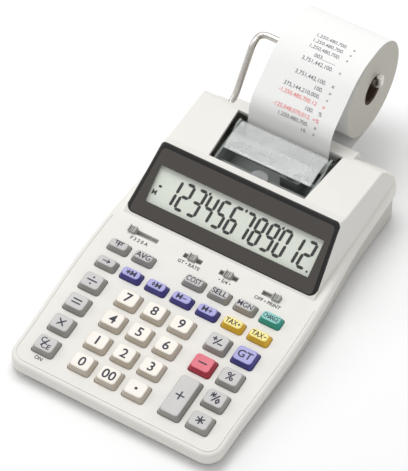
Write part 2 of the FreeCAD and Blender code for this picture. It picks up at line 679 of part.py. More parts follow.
def printer_frame():
    """Two side plates tied by a base, a front tray and the carriage rail."""
    inner = size("plate_gap") / 2
    outer = inner + size("plate_thick")
    start = WINDOW_V + size("opening_start") + 0.6
    hinge_v = LENGTH - size("hinge_setback")
    rear = PLATEN_V + size("platen_radius") + 2.0
    low = PLATEN_Z - size("platen_radius") - 6.5
    tray = size("tray_height")
    plate_points = [
        (start, tray - 1.5), (start, tray + 7.0), (hinge_v - 8, tray + 9.0),
        (hinge_v - 3.0, size("hinge_height") + 2.2), (hinge_v + 1.8, size("hinge_height") + 2.2),
        (hinge_v + 3.0, tray + 6.0), (rear, PLATEN_Z + 6.0), (rear, low), (hinge_v - 22, low),
        (hinge_v - 22, tray - 1.5),
    ]
    plates = side_prism(plate_points, outer).cut(side_prism(plate_points, inner))
    front_tray = block(-outer, outer, start, LENGTH - size("cover_front") - 1.0, tray - 1.5, tray)
    base = block(-outer, outer, hinge_v - 22, rear, low, low + 1.5)
    rail = rod(size("shaft_radius"), -outer, outer, LENGTH - size("rail_setback"), size("rail_height"))
    pin = post(size("shaft_radius"), size("ink_offset"), LENGTH - size("ink_setback"), tray - 0.5,
               tray + size("ink_height") + 0.8)
    frame = plates.fuse([front_tray, base, rail, pin])
    bearing = size("shaft_radius") + size("run_fit")
    frame = frame.cut(rod(bearing, -outer - 1, outer + 1, PLATEN_V, PLATEN_Z))
    hinge = size("hinge_radius") + size("run_fit")
    return frame.cut(rod(hinge, -outer - 1, outer + 1, hinge_v, size("hinge_height")))


def toothed_wheel(teeth, centre_v, centre_z, x0, x1, phase):
    """A spur wheel with straight-sided teeth, cut thin enough to run with play."""
    module = size("gear_module")
    pitch_radius = module * teeth / 2
    root, tip = pitch_radius - 1.2 * module, pitch_radius + 0.8 * module
    pitch = 2 * math.pi / teeth
    corners = []
    for tooth in range(int(teeth)):
        middle = phase + tooth * pitch
        for radius, share in ((root, -0.31), (tip, -0.11), (tip, 0.11), (root, 0.31)):
            angle = middle + share * pitch
            corners.append(vec(x0, centre_v + radius * math.cos(angle), centre_z + radius * math.sin(angle)))
    return Part.Face(Part.makePolygon(corners + corners[:1])).extrude(vec(x1 - x0, 0, 0))


def platen_roller():
    gear_end = size("gear_start") + size("gear_thick")
    plate = size("plate_gap") / 2 + size("plate_thick")
    rubber = rod(size("platen_radius"), -size("platen_half"), size("platen_half"), PLATEN_V, PLATEN_Z)
    shaft = rod(size("shaft_radius"), -plate - 2.0, gear_end + 1.0, PLATEN_V, PLATEN_Z)
    gear = toothed_wheel(size("platen_teeth"), PLATEN_V, PLATEN_Z, size("gear_start"), gear_end, math.pi)
    return rubber.fuse([shaft, gear])


def motor_pinion():
    teeth = size("pinion_teeth")
    gear_end = size("gear_start") + size("gear_thick")
    half_pitch = math.pi / teeth
    wheel = toothed_wheel(teeth, MOTOR_V, MOTOR_Z, size("gear_start"), gear_end, half_pitch)
    bore_radius = size("shaft_radius") - 0.5 + size("run_fit")
    bore = rod(bore_radius, size("gear_start") - 1, gear_end + 1, MOTOR_V, MOTOR_Z)
    return wheel.cut(bore)


def drive_motor():
    can_start = size("gear_start") + size("gear_thick") + size("motor_gap")
    can = rod(size("motor_radius"), can_start, can_start + size("motor_length"), MOTOR_V, MOTOR_Z)
    ends = [edge for edge in can.Edges if edge.BoundBox.XLength < 0.01]
    can = can.makeFillet(1.0, ends)
    neck = rod(3.0, can_start - 1.2, can_start + 0.5, MOTOR_V, MOTOR_Z)
    shaft = rod(size("shaft_radius") - 0.5, size("gear_start") - 1, can_start + 1, MOTOR_V, MOTOR_Z)
    return can.fuse([neck, shaft])


def printer_cover():
    """Clear lid with an arched top, cheeks at its sides and two hinge pins."""
    front = LENGTH - size("cover_front")
    rear = LENGTH - size("cover_rear")
    thick = size("cover_thick")
    half = size("cover_half")
    middle = (front + rear) / 2
    top = Part.Arc(vec(-half, front, size("cover_front_height")),
                   vec(-half, middle, size("cover_crown_height")),
                   vec(-half, rear, size("cover_rear_height")))
    under = Part.Arc(vec(-half, front, size("cover_front_height") - thick),
                     vec(-half, middle, size("cover_crown_height") - thick),
                     vec(-half, rear, size("cover_rear_height") - thick))
    edges = [
        top.toShape(),
        Part.LineSegment(top.EndPoint, under.EndPoint).toShape(),
        under.toShape(),
        Part.LineSegment(under.StartPoint, top.StartPoint).toShape(),
    ]
    lid = Part.Face(Part.Wire(Part.__sortEdges__(edges))).extrude(vec(2 * half, 0, 0))
    hinge_v = LENGTH - size("hinge_setback")
    pieces = []
    for side in (-1, 1):
        reach = size("plate_gap") / 2 + size("plate_thick") + 0.4
        low, high = sorted((side * (half - 2.0), side * reach))
        pieces.append(rod(size("hinge_radius"), low, high, hinge_v, size("hinge_height")))
        low, high = sorted((side * (half - 2.0), side * half))
        pieces.append(block(low, high, hinge_v - 2.0, hinge_v + 0.8, size("hinge_height") - 1.2,
                            size("cover_rear_height") - 0.3))
    return lid.fuse(pieces)


def print_carriage():
    """Type head that slides on the rail."""
    rail_v = LENGTH - size("rail_setback")
    rail_z = size("rail_height")
    half = size("carriage_width") / 2
    x = size("carriage_rest")
    depth = size("carriage_depth")
    body = block(x - half, x + half, rail_v - depth / 2, rail_v + depth / 2,
                 rail_z - size("carriage_height") * 0.6, rail_z + size("carriage_height") * 0.4)
    uprights = [edge for edge in body.Edges if edge.BoundBox.ZLength > depth / 2]
    body = body.makeFillet(1.5, uprights)
    wheel = post(half - 1.8, x, rail_v - 0.5, rail_z + size("carriage_height") * 0.4 - 0.5,
                 rail_z + size("carriage_height") * 0.4 + 2.0)
    head = block(x - half + 2, x + half - 2, rail_v + depth / 2 - 0.5, PLATEN_V - size("platen_radius") - 1.2,
                 PLATEN_Z - 3, PLATEN_Z + 3)
    body = body.fuse([wheel, head])
    return body.cut(rod(size("shaft_radius") + size("run_fit"), x - half - 1, x + half + 1, rail_v, rail_z))


# ---------------------------------------------------------------- paper and its arm

def paper_arm():
    """One bent wire: journal in the case, side leg, the bar that carries the roll, a hook."""
    side = -size("arm_side")
    journal_end = side + size("wire_radius") + 3.0 + size("journal_length") + 0.6
    z = ARM_WIRE_Z
    hook_x = size("paper_width") / 2 + size("arm_hook")
    points = [
        vec(journal_end, ARM_PIVOT_V, size("arm_pivot_height")),
        vec(side, ARM_PIVOT_V, size("arm_pivot_height")),
        vec(side, LENGTH + size("arm_knee_back"), size("arm_knee_height")),
        vec(side, ROLL_V - size("arm_shoulder_lead"), z),
        vec(side, ROLL_V, z),
        vec(hook_x, ROLL_V, z),
        vec(hook_x, ROLL_V, z + size("arm_hook_height")),
    ]
    bend = size("wire_radius") * 1.9
    edges = rounded_path(points, [bend, 12.0, 8.0, bend * 1.2, bend * 0.8])
    start = Part.Wire(Part.makeCircle(size("wire_radius"), points[0], vec(-1, 0, 0)))
    return swept(start, edges)


def paper_tape():
    """The paper between the roll and the platen, and the printed length beyond it."""
    thick = size("paper_thick")
    half = size("paper_width") / 2
    lead = size("platen_radius") + size("paper_gap") + thick / 2
    roll_r = size("roll_radius") + size("paper_gap") + thick / 2
    roll_z = size("roll_height")
    # the common tangent under the platen and the roll
    span = math.hypot(ROLL_V - PLATEN_V, roll_z - PLATEN_Z)
    tilt = math.atan2(roll_z - PLATEN_Z, ROLL_V - PLATEN_V)
    lean = tilt - math.asin((roll_r - lead) / span)
    down = (math.sin(lean), -math.cos(lean))
    leaves_roll = vec(0, ROLL_V + roll_r * down[0], roll_z + roll_r * down[1])
    meets_platen = vec(0, PLATEN_V + lead * down[0], PLATEN_Z + lead * down[1])
    # the printed length rises from the platen's front, leaning a little to the rear
    knee = vec(0, LENGTH - size("tape_rise_back"), size("tape_rise_height"))
    away = math.hypot(knee.y - PLATEN_V, knee.z - PLATEN_Z)
    bearing = math.atan2(knee.z - PLATEN_Z, knee.y - PLATEN_V) + math.acos(lead / away)
    leaves_platen = vec(0, PLATEN_V + lead * math.cos(bearing), PLATEN_Z + lead * math.sin(bearing))
    low_angle = math.atan2(down[1], down[0])
    middle_angle = (low_angle + bearing - 2 * math.pi) / 2
    wrap_middle = vec(0, PLATEN_V + lead * math.cos(middle_angle), PLATEN_Z + lead * math.sin(middle_angle))
    crest_z = roll_z + roll_r
    crest = vec(0, LENGTH + size("tape_crest_back"), crest_z)
    over_roll = vec(0, ROLL_V, crest_z)
    wrap = math.radians(size("tape_wrap"))
    half_way = vec(0, ROLL_V + roll_r * math.sin(wrap / 2), roll_z + roll_r * math.cos(wrap / 2))
    end = vec(0, ROLL_V + roll_r * math.sin(wrap), roll_z + roll_r * math.cos(wrap))
    edges = [Part.LineSegment(leaves_roll, meets_platen).toShape(),
             Part.Arc(meets_platen, wrap_middle, leaves_platen).toShape()]
    edges += rounded_path([leaves_platen, knee, crest, over_roll],
                          [size("tape_low_round"), size("tape_high_round")])
    edges.append(Part.Arc(over_roll, half_way, end).toShape())
    along = (meets_platen - leaves_roll).normalize()
    up = along.cross(vec(1, 0, 0)).normalize() * (thick / 2)
    wide = vec(half, 0, 0)
    corners = [leaves_roll - wide - up, leaves_roll + wide - up,
               leaves_roll + wide + up, leaves_roll - wide + up]
    return swept(Part.makePolygon(corners + corners[:1]), edges)


# ---------------------------------------------------------------- pieces bound to the sheet

def make_key(name, x, s, width, depth, tall):
    """A keycap with a skirt, a flange that holds it under the deck, and a stem."""
    body = new_body(f"key_{name}")
    long = cell(depth) + (f" + {cell('row_pitch')}" if tall else "")
    across, corner = cell(width), cell("key_corner")
    skirt_low = f"-({cell('case_wall')} + {cell('key_play')})"
    lip = f"2 * {cell('flange_lip')}"
    skirt = rounded_sketch(body, "skirt", across, long, corner, skirt_low)
    pad(body, skirt, f"{cell('case_wall')} + {cell('key_play')}")
    foot = rounded_sketch(body, "cap_foot", across, long, corner, "0")
    taper = f"2 * {cell('key_taper')}"
    head = rounded_sketch(body, "cap_head", f"{across} - {taper}", f"{long} - {taper}", corner,
                          cell("key_height"))
    cap = body.newObject("PartDesign::AdditiveLoft", "cap")
    cap.Profile = foot
    cap.Sections = [head]
    cap.Ruled = True
    top = size("key_height")
    round_edges(body, cap, lambda edge: edge.BoundBox.ZMin > top - 0.01, cell("key_round"))
    flange_low = f"{skirt_low} - {cell('flange_thick')}"
    flange = rounded_sketch(body, "flange", f"{across} + {lip}", f"{long} + {lip}", corner, flange_low)
    pad(body, flange, cell("flange_thick"))
    stem = disc_sketch(body, "stem", cell("stem_radius"), f"{flange_low} - {cell('stem_length')}")
    pad(body, stem, cell("stem_length"))
    body.Placement = DECK_FRAME.multiply(FreeCAD.Placement(vec(x, s, 0), FreeCAD.Rotation()))


def make_knob(name, middle, length, rest):
    """A slide-switch knob: ribbed head, a neck through the slot and a foot under the deck."""
    body = new_body(f"switch_{name}")
    fit = cell("knob_fit")
    neck_low = f"-({cell('case_wall')} + {cell('key_play')})"
    foot_low = f"{neck_low} - {cell('flange_thick')}"
    foot = rounded_sketch(body, "foot", f"{cell('knob_width')} + 2 * {cell('flange_lip')}",
                          f"{cell('slot_width')} + 2 * {cell('flange_lip')}", "0.5", foot_low)
    pad(body, foot, cell("flange_thick"))
    neck = rounded_sketch(body, "neck", f"{cell('knob_width')} - {fit}",
                          f"{cell('slot_width')} - 2 * {fit}", "0.4", neck_low)
    pad(body, neck, f"{cell('case_wall')} + {cell('key_play')} + {cell('knob_gap')}")
    head = rounded_sketch(body, "head", cell("knob_width"), cell("knob_depth"), "0.7", cell("knob_gap"))
    top = pad(body, head, cell("knob_height"))
    crown = size("knob_gap") + size("knob_height")
    round_edges(body, top, lambda edge: edge.BoundBox.ZMin > crown - 0.01, "0.5")
    swing = (size(length) - size("knob_width")) / 2 - size("knob_fit")
    body.Placement = DECK_FRAME.multiply(
        FreeCAD.Placement(vec(size(middle) + rest * swing, size("switch_row"), 0), FreeCAD.Rotation()))


def make_paper_roll():
    """A wound roll on a card core, turned about its own axis."""
    body = new_body("paper_roll")
    rim = disc_sketch(body, "rim", cell("roll_radius"), f"-{cell('paper_width')} / 2", "YZ_Plane")
    pad(body, rim, cell("paper_width"))
    bore = disc_sketch(body, "bore", cell("roll_bore"), f"-{cell('paper_width')} / 2", "YZ_Plane")
    pocket(body, bore, cell("paper_width"), True)
    body.Placement = FreeCAD.Placement(vec(0, FRONT_Y + ROLL_V, size("roll_height")), FreeCAD.Rotation())


def make_ink_roller():
    body = new_body("ink_roller")
    rim = disc_sketch(body, "rim", cell("ink_radius"), "0")
    drum = pad(body, rim, cell("ink_height"))
    round_edges(body, drum, lambda edge: edge.BoundBox.ZLength < 0.01, "0.4")
    bore = disc_sketch(body, "bore", f"{cell('shaft_radius')} + {cell('run_fit')}", "0")
    pocket(body, bore, cell("ink_height"), True)
    place = vec(size("ink_offset"), FRONT_Y + LENGTH - size("ink_setback"), size("tray_height") + 0.3)
    body.Placement = FreeCAD.Placement(place, FreeCAD.Rotation())


def make_lcd_panel():
    body = new_body("lcd_panel")
    glass = rounded_sketch(body, "glass", cell("lcd_width"), cell("lcd_height"), "0.6",
                           f"-{cell('lcd_thick')}")
    pad(body, glass, cell("lcd_thick"))
    window = FreeCAD.Placement(vec(0, FRONT_Y + WINDOW_V, WINDOW_Z), WINDOW_FRAME.Rotation)
    local = vec(0, size("lcd_start") + size("lcd_height") / 2, -size("window_thick") - size("lcd_gap"))
    body.Placement = window.multiply(FreeCAD.Placement(local, FreeCAD.Rotation()))


def make_battery_door():
    body = new_body("battery_door")
    lap = f"2 * {cell('door_lap')}"
    leaf = rounded_sketch(body, "leaf", f"2 * {cell('bay_half')} + {lap}",
                          f"{cell('bay_depth')} + {lap}", "1.0", "0")
    pad(body, leaf, cell("door_thick"))
    grip = rounded_sketch(body, "grip", "24", "1.6", "0.7", f"-{cell('foot_height')} * 0.2")
    pad(body, grip, f"{cell('foot_height')} * 0.2")
    middle = FRONT_Y + (BAY_V0 + BAY_V1) / 2
    body.Placement = FreeCAD.Placement(vec(0, middle, size("foot_height")), FreeCAD.Rotation())


def make_board():
    """The circuit board under the keys."""
    length = f"{cell('board_end')} - {cell('board_start')}"
    body = new_body("main_board")
    plate = rounded_sketch(body, "plate", f"2 * {cell('board_half')}", length, "2.0",
                           f"-{cell('board_thick')}")
    pad(body, plate, cell("board_thick"))
    body.Placement = DECK_FRAME.multiply(
        FreeCAD.Placement(vec(0, (size("board_start") + size("board_end")) / 2, BOARD_TOP), FreeCAD.Rotation()))


def make_membrane():
    """The rubber sheet under the keys, with a contact well below each stem."""
    start = size("board_start") + 1.0
    end = size("small_row") + size("small_row_pitch") + size("small_key_depth") / 2 + 2.0
    half = size("board_half") - 1.0
    film = block(-half, half, start, end, MEMBRANE_TOP - size("membrane_thick"), MEMBRANE_TOP)
    well = size("stem_radius") + size("well_fit")
    holes = [post(well, x, s, BOARD_TOP - 1, MEMBRANE_TOP + 1) for _, x, s, *_ in KEYS]
    made_shape("key_membrane", film.cut(holes), DECK_FRAME)


def make_group(label, pieces):
    """Several like pieces in one sub-part, each still its own solid."""
    group = doc.addObject("Part::Compound", label)
    group.Label = label
    group.Links = pieces
    subparts.append(group)


def make_feet():
    pieces = []
    x = HALF_WIDTH - size("foot_inset")
    for place, (fx, fv) in enumerate(((-x, size("foot_setback")), (x, size("foot_setback")),
                                      (-x, LENGTH - size("foot_setback")), (x, LENGTH - size("foot_setback")))):
        foot = doc.addObject("Part::Cylinder", f"foot_{place}")
        bind(foot, Radius=cell("foot_radius"), Height=cell("foot_height"))
        foot.Placement = FreeCAD.Placement(vec(fx, FRONT_Y + fv, 0), FreeCAD.Rotation())
        pieces.append(foot)
    make_group("rubber_feet", pieces)


def make_screws():
    pieces = []
    for place, (x, v) in enumerate(boss_places()):
        head_low = belt_z(v) - size("seam_gap") - size("floor_wall") - size("head_height")
        reach = belt_z(v) + size("screw_bite") - head_low
        head = doc.addObject("Part::Cylinder", f"screw_head_{place}")
        bind(head, Radius=cell("head_radius"), Height=cell("head_height"))
        shank = doc.addObject("Part::Cylinder", f"screw_shank_{place}")
        bind(shank, Radius=cell("screw_radius"))
        shank.Height = reach
        screw = doc.addObject("Part::Fuse", f"screw_{place}")
        screw.Base = head
        screw.Tool = shank
        screw.Placement = FreeCAD.Placement(vec(x, FRONT_Y + v, head_low), FreeCAD.Rotation())
        pieces.append(screw)
    make_group("case_screws", pieces)


def adaptor_jack():
    rear = LENGTH - size("belt_undercut") - 0.3
    depth = size("jack_depth")
    x, z = size("jack_offset"), size("jack_height")

    def along(radius, start, length):
        return Part.makeCylinder(radius, length, vec(x, start, z), vec(0, 1, 0))

    shell = along(size("jack_radius"), rear - depth, depth)
    shell = shell.cut(along(size("jack_bore"), rear - depth + 2.0, depth))
    return shell.fuse(along(size("jack_pin"), rear - depth + 1.0, depth - 2.0))


# ---------------------------------------------------------------- build

made_shape("upper_case", upper_case())
made_shape("lower_case", lower_case())
window_place = FreeCAD.Placement(vec(0, FRONT_Y + WINDOW_V, WINDOW_Z), WINDOW_FRAME.Rotation)
made_shape("display_window", window_plate(0, 0), window_place)
make_lcd_panel()
make_board()
make_membrane()
for key in KEYS:
    make_key(*key)
for switch in SWITCHES:
    make_knob(*switch)
made_shape("printer_frame", printer_frame())
made_shape("printer_cover", printer_cover())
made_shape("platen_roller", platen_roller())
made_shape("motor_pinion", motor_pinion())
made_shape("drive_motor", drive_motor())
made_shape("print_carriage", print_carriage())
make_ink_roller()
made_shape("paper_arm", paper_arm())
make_paper_roll()
made_shape("paper_tape", paper_tape())
make_battery_door()
make_feet()
make_screws()
made_shape("adaptor_jack", adaptor_jack())
doc.recompute()

for item in doc.Objects:
    if "Invalid" in item.State or "Error" in item.State:
        raise RuntimeError(f"{item.Label} did not build: {item.State}")
for item in subparts:
    if item.Shape.isNull() or not item.Shape.isValid():
        raise RuntimeError(f"{item.Label} has no valid shape")

os.makedirs("parts", exist_ok=True)
for item in subparts:
    item.Shape.exportStep(f"parts/{item.Label}.step")
    box = item.Shape.BoundBox
    print(f"{item.Label}: {len(item.Shape.Solids)} solid(s), {item.Shape.Volume:.1f} mm3, "
          f"z {box.ZMin:.2f} to {box.ZMax:.2f}")
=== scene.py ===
import json
import math

import bmesh
import bpy
from mathutils import Matrix, Vector
from mathutils.bvhtree import BVHTree


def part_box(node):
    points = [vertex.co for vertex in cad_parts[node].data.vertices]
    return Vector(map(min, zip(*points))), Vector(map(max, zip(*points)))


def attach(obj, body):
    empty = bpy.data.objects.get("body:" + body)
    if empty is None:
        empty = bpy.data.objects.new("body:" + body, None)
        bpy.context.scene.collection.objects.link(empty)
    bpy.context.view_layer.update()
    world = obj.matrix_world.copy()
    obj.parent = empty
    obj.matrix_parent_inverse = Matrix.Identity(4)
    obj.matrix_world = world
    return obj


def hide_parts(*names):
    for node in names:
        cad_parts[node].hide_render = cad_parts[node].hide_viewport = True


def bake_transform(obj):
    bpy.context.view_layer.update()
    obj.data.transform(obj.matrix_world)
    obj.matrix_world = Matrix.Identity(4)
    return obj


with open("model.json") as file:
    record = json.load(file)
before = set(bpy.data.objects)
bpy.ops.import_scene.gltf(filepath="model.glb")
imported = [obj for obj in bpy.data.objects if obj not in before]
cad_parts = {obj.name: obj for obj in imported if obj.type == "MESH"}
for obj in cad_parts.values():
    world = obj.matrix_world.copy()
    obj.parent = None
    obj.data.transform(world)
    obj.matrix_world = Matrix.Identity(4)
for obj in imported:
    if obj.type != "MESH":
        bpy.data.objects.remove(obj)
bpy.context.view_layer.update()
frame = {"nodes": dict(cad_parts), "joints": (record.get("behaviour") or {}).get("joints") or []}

bl_info = {
    "name": "Desktop Printing Calculator",
    "version": (1, 0, 0),
    "blender": (4, 5, 0),
    "location": "3D View > Sidebar > Calculator",
    "description": "Builds the visible pieces of a desktop printing calculator round its CAD frame",
    "category": "Object",
}

MM = 0.001

# Each sign is a list of strokes, from a start to an end, as shares of the sign's height.
SIGNS = {
    "divide": (((-0.55, 0.0), (0.55, 0.0)),),
    "equals": (((-0.5, 0.22), (0.5, 0.22)), ((-0.5, -0.22), (0.5, -0.22))),
    "multiply": (((-0.36, -0.36), (0.36, 0.36)), ((-0.36, 0.36), (0.36, -0.36))),
    "plus": (((-0.45, 0.0), (0.45, 0.0)), ((0.0, -0.45), (0.0, 0.45))),
    "minus": (((-0.5, 0.0), (0.5, 0.0)),),
    "star": (((0.0, -0.45), (0.0, 0.45)), ((-0.39, -0.225), (0.39, 0.225)), ((-0.39, 0.225), (0.39, -0.225))),
    "diamond": (((0.0, 0.45), (0.28, 0.0)), ((0.28, 0.0), (0.0, -0.45)), ((0.0, -0.45), (-0.28, 0.0)),
                ((-0.28, 0.0), (0.0, 0.45))),
    "arrow": (((-0.7, 0.0), (0.55, 0.0)), ((0.2, 0.3), (0.62, 0.0)), ((0.2, -0.3), (0.62, 0.0))),
    "feed": (((-0.8, 0.5), (0.8, 0.5)), ((-0.5, 0.5), (-0.5, -0.1)), ((0.5, 0.5), (0.5, -0.1)),
             ((0.0, 0.3), (0.0, -0.6)), ((-0.25, 0.0), (0.0, 0.32)), ((0.25, 0.0), (0.0, 0.32))),
    "slash": (((-0.3, -0.5), (0.3, 0.5)),), "point": (),
}
SIGN_DOTS = {"divide": ((0.0, 0.42), (0.0, -0.42)), "point": ((0.0, 0.0),)}
# Each legend is a list of marks: words or a sign, its middle across and up, and its height, all as shares
# of the keycap's half depth.
LEGENDS = {
    "divide": (("divide", 0, 0, 1.3),), "equals": (("equals", 0, 0, 1.25),),
    "multiply": (("multiply", 0, 0, 1.25),), "plus": (("plus", 0, 0, 1.35),),
    "minus": (("minus", 0, 0, 1.2),),
    "point": (("point", 0, 0, 1.1),), "total": (("star", 0, 0, 1.3),),
    "clear": (("C", -0.45, 0.42, 1.15), ("slash", -0.08, 0.06, 1.1), ("CE", 0.32, -0.42, 1.15)),
    "sign": (("plus", -0.5, 0.3, 0.6), ("slash", 0, 0, 1.1), ("minus", 0.5, -0.3, 0.6)),
    "subtotal": (("#", -0.5, 0.35, 1.2), ("slash", 0, 0, 1.1), ("diamond", 0.45, -0.34, 0.85)),
    "grand_total": (("GT", 0, 0, 1.6),), "percent": (("%", 0, 0, 1.7),),
    "average": (("AVG", 0, 0, 2.4),), "cost": (("COST", 0, 0, 2.4),), "sell": (("SELL", 0, 0, 2.4),),
    "margin": (("MGN", 0, 0, 2.3),), "change": (("CHANGE", 0, 0, 2.2),),
    "memory_total": (("star", -1.05, 0, 1.4), ("M", 0.55, 0, 2.5)),
    "memory_subtotal": (("diamond", -1.0, 0, 1.2), ("M", 0.55, 0, 2.5)),
    "memory_minus": (("M", -0.55, 0, 2.5), ("minus", 1.15, 0, 1.1)),
    "memory_plus": (("M", -0.55, 0, 2.5), ("plus", 1.15, 0, 1.15)),
    "tax_plus": (("TAX+", 0, 0, 2.3),), "tax_minus": (("TAX−", 0, 0, 2.3),),
    "paper_feed": (("feed", 0, 0, 1.7),), "shift": (("arrow", 0, 0, 1.7),), "00": (("00", 0, 0, 2.0),),
}
LEGENDS.update({str(number): ((str(number), 0, 0, 2.0),) for number in range(10)})
IVORY_KEYS = {"00", "point"} | {str(number) for number in range(10)}
LILAC_KEYS = {"grand_total", "memory_total", "memory_subtotal", "memory_minus", "memory_plus"}
KEY_NODES = sorted(name for name in frame["nodes"] if name.startswith("key_") and name != "key_membrane")
SWITCH_NODES = sorted(name for name in frame["nodes"] if name.startswith("switch_"))
PRESS_AXIS = next(joint["axis"] for joint in frame["joints"] if joint["name"] == KEY_NODES[0] + "_press")
DECK_TILT = math.atan2(PRESS_AXIS[1], -PRESS_AXIS[2])
DECK_TURN = Matrix.Rotation(DECK_TILT, 4, "X")

RIM_SHARE = 1.45       # how far a keycap's top rim leans in, as a share of the taper
CAP_CORNER = 1.7 * MM  # corner radius of a keycap at the deck
INK_DEPTH = 0.02 * MM  # thickness of printed words and signs


# ---------------------------------------------------------------- sizes and colours

class CalculatorSizes(bpy.types.PropertyGroup):
    """Sizes of the finish that the CAD frame doesn't hold."""
    key_height: bpy.props.FloatProperty(
        name="Key height", description="Keycap above the deck", default=4.5 * MM, unit="LENGTH")
    key_taper: bpy.props.FloatProperty(
        name="Key taper", description="How far each side leans in", default=1.3 * MM, unit="LENGTH")
    key_lip: bpy.props.FloatProperty(
        name="Key flange lip", description="Flange beyond the keycap, under the deck",
        default=1.0 * MM, unit="LENGTH")
    key_dish: bpy.props.FloatProperty(
        name="Key dish", description="Depth of the hollow in a keycap's top", default=0.35 * MM,
        unit="LENGTH")
    ink_lift: bpy.props.FloatProperty(
        name="Ink lift", description="How far a key's legend stands off its top", default=0.03 * MM,
        unit="LENGTH")
    window_border: bpy.props.FloatProperty(
        name="Window border", description="Width of the black band round the window", default=2.2 * MM,
        unit="LENGTH")
    pane_width: bpy.props.FloatProperty(
        name="Clear pane width", description="Clear part of the window", default=115.6 * MM, unit="LENGTH")
    pane_height: bpy.props.FloatProperty(
        name="Clear pane height", description="Clear part of the window", default=24.0 * MM, unit="LENGTH")
    digit_height: bpy.props.FloatProperty(
        name="Digit height", description="Height of a display digit", default=18.8 * MM, unit="LENGTH")
    core_radius: bpy.props.FloatProperty(
        name="Core radius", description="Outer radius of the roll's card core", default=10.2 * MM,
        unit="LENGTH")


def colour(label, red, green, blue):
    """A colour setting, in linear light."""
    return bpy.props.FloatVectorProperty(name=label, description=f"{label} base colour", size=3,
                                         subtype="COLOR", min=0.0, max=1.0, default=(red, green, blue))


class CalculatorColours(bpy.types.PropertyGroup):
    """Linear base colours of the finishes."""
    case: colour("Case", 0.745, 0.73, 0.69)
    # The base colour is the case colour darkened by a quarter: painted shade for the lower case, seen only as
    # a dark line along the bottom.
    base: colour("Base", 0.56, 0.545, 0.505)
    # Each key family's side colour is a darker copy of its top colour: partly the keys' own two-tone
    # moulding, partly painted shade on the sides, with the tops as lit from above.
    grey_top: colour("Grey key top", 0.53, 0.52, 0.515)
    grey_side: colour("Grey key side", 0.33, 0.32, 0.30)
    ivory_top: colour("Ivory key top", 0.84, 0.80, 0.73)
    ivory_side: colour("Ivory key side", 0.56, 0.50, 0.42)
    lilac_top: colour("Lilac key top", 0.37, 0.36, 0.68)
    lilac_side: colour("Lilac key side", 0.045, 0.04, 0.24)
    yellow_top: colour("Yellow key top", 0.92, 0.79, 0.27)
    yellow_side: colour("Yellow key side", 0.78, 0.46, 0.02)
    green_top: colour("Green key top", 0.25, 0.60, 0.55)
    green_side: colour("Green key side", 0.02, 0.31, 0.25)
    red_top: colour("Red key top", 0.70, 0.14, 0.19)
    red_side: colour("Red key side", 0.45, 0.03, 0.06)
    legend: colour("Legend ink", 0.006, 0.006, 0.022)
    window: colour("Window plate", 0.060, 0.053, 0.047)
    window_edge: colour("Window border", 0.006, 0.006, 0.006)
    display: colour("Display", 0.72, 0.76, 0.68)
    segment: colour("Display segment", 0.003, 0.003, 0.003)
    mechanism: colour("Printer mechanism", 0.25, 0.27, 0.26)
    paper: colour("Paper", 0.84, 0.84, 0.83)
    roll_end: colour("Roll end", 0.56, 0.54, 0.48)
    core: colour("Card core", 0.075, 0.050, 0.032)
    print_ink: colour("Printed ink", 0.03, 0.03, 0.05)
    print_red: colour("Printed red ink", 0.60, 0.05, 0.06)
    wire: colour("Arm wire", 0.72, 0.69, 0.66)
    rubber: colour("Rubber", 0.02, 0.02, 0.02)
    knob: colour("Switch knob", 0.42, 0.415, 0.40)
    slot_bed: colour("Switch slot bed", 0.75, 0.74, 0.71)
    deck_ink: colour("Switch marks", 0.01, 0.01, 0.012)
    pane: colour("Clear pane", 0.97, 0.98, 0.97)
    # The lid's near-white colour, laid at partial cover, is a painted sheen standing in for reflections off
    # the clear cover.
    lid: colour("Clear lid", 0.93, 0.95, 0.94)
    carriage: colour("Print carriage", 0.16, 0.17, 0.165)
    felt: colour("Ink roller felt", 0.30, 0.30, 0.31)
    pinion: colour("Motor pinion", 0.70, 0.68, 0.58)
    motor: colour("Motor can", 0.60, 0.60, 0.60)
    screw: colour("Screw steel", 0.55, 0.55, 0.56)
    jack: colour("Adaptor socket", 0.02, 0.02, 0.02)
    board: colour("Circuit board", 0.02, 0.12, 0.04)
    membrane: colour("Key membrane", 0.35, 0.35, 0.33)


def sizes():
    return bpy.context.scene.calculator_sizes


def colours():
    return bpy.context.scene.calculator_colours


# ---------------------------------------------------------------- finishes

def new_finish(name):
    """A new node material, its tree and its surface shader."""
    finish = bpy.data.materials.new(name)
    finish.use_nodes = True
    shader = next(node for node in finish.node_tree.nodes if node.type == "BSDF_PRINCIPLED")
    return finish, finish.node_tree, shader


def noise(tree, scale, detail=4.0, stretch=None):
    """Noise in the piece's own coordinates; scale is its cycles per metre."""
    place = tree.nodes.new("ShaderNodeTexCoord")
    source = place.outputs["Object"]
    if stretch:
        mapping = tree.nodes.new("ShaderNodeMapping")
        mapping.inputs["Scale"].default_value = stretch
        tree.links.new(source, mapping.inputs["Vector"])
        source = mapping.outputs["Vector"]
    texture = tree.nodes.new("ShaderNodeTexNoise")
    texture.inputs["Scale"].default_value = scale
    texture.inputs["Detail"].default_value = detail
    tree.links.new(source, texture.inputs["Vector"])
    return texture


def between(tree, source, low, high):
    """Spread a texture's middle values, 0.3 to 0.7, over low to high."""
    spread = tree.nodes.new("ShaderNodeMapRange")
    spread.inputs["From Min"].default_value = 0.3
    spread.inputs["From Max"].default_value = 0.7
    spread.inputs["To Min"].default_value = low
    spread.inputs["To Max"].default_value = high
    tree.links.new(source, spread.inputs["Value"])
    return spread.outputs["Result"]


def mixed(tree, factor, first, second):
    """A colour between two, by a factor; a mix node's colour sockets are its inputs 6 and 7, output 2."""
    mix = tree.nodes.new("ShaderNodeMix")
    mix.data_type = "RGBA"
    mix.inputs[6].default_value = (*first, 1.0)
    mix.inputs[7].default_value = (*second, 1.0)
    tree.links.new(factor, mix.inputs[0])
    return mix.outputs[2]


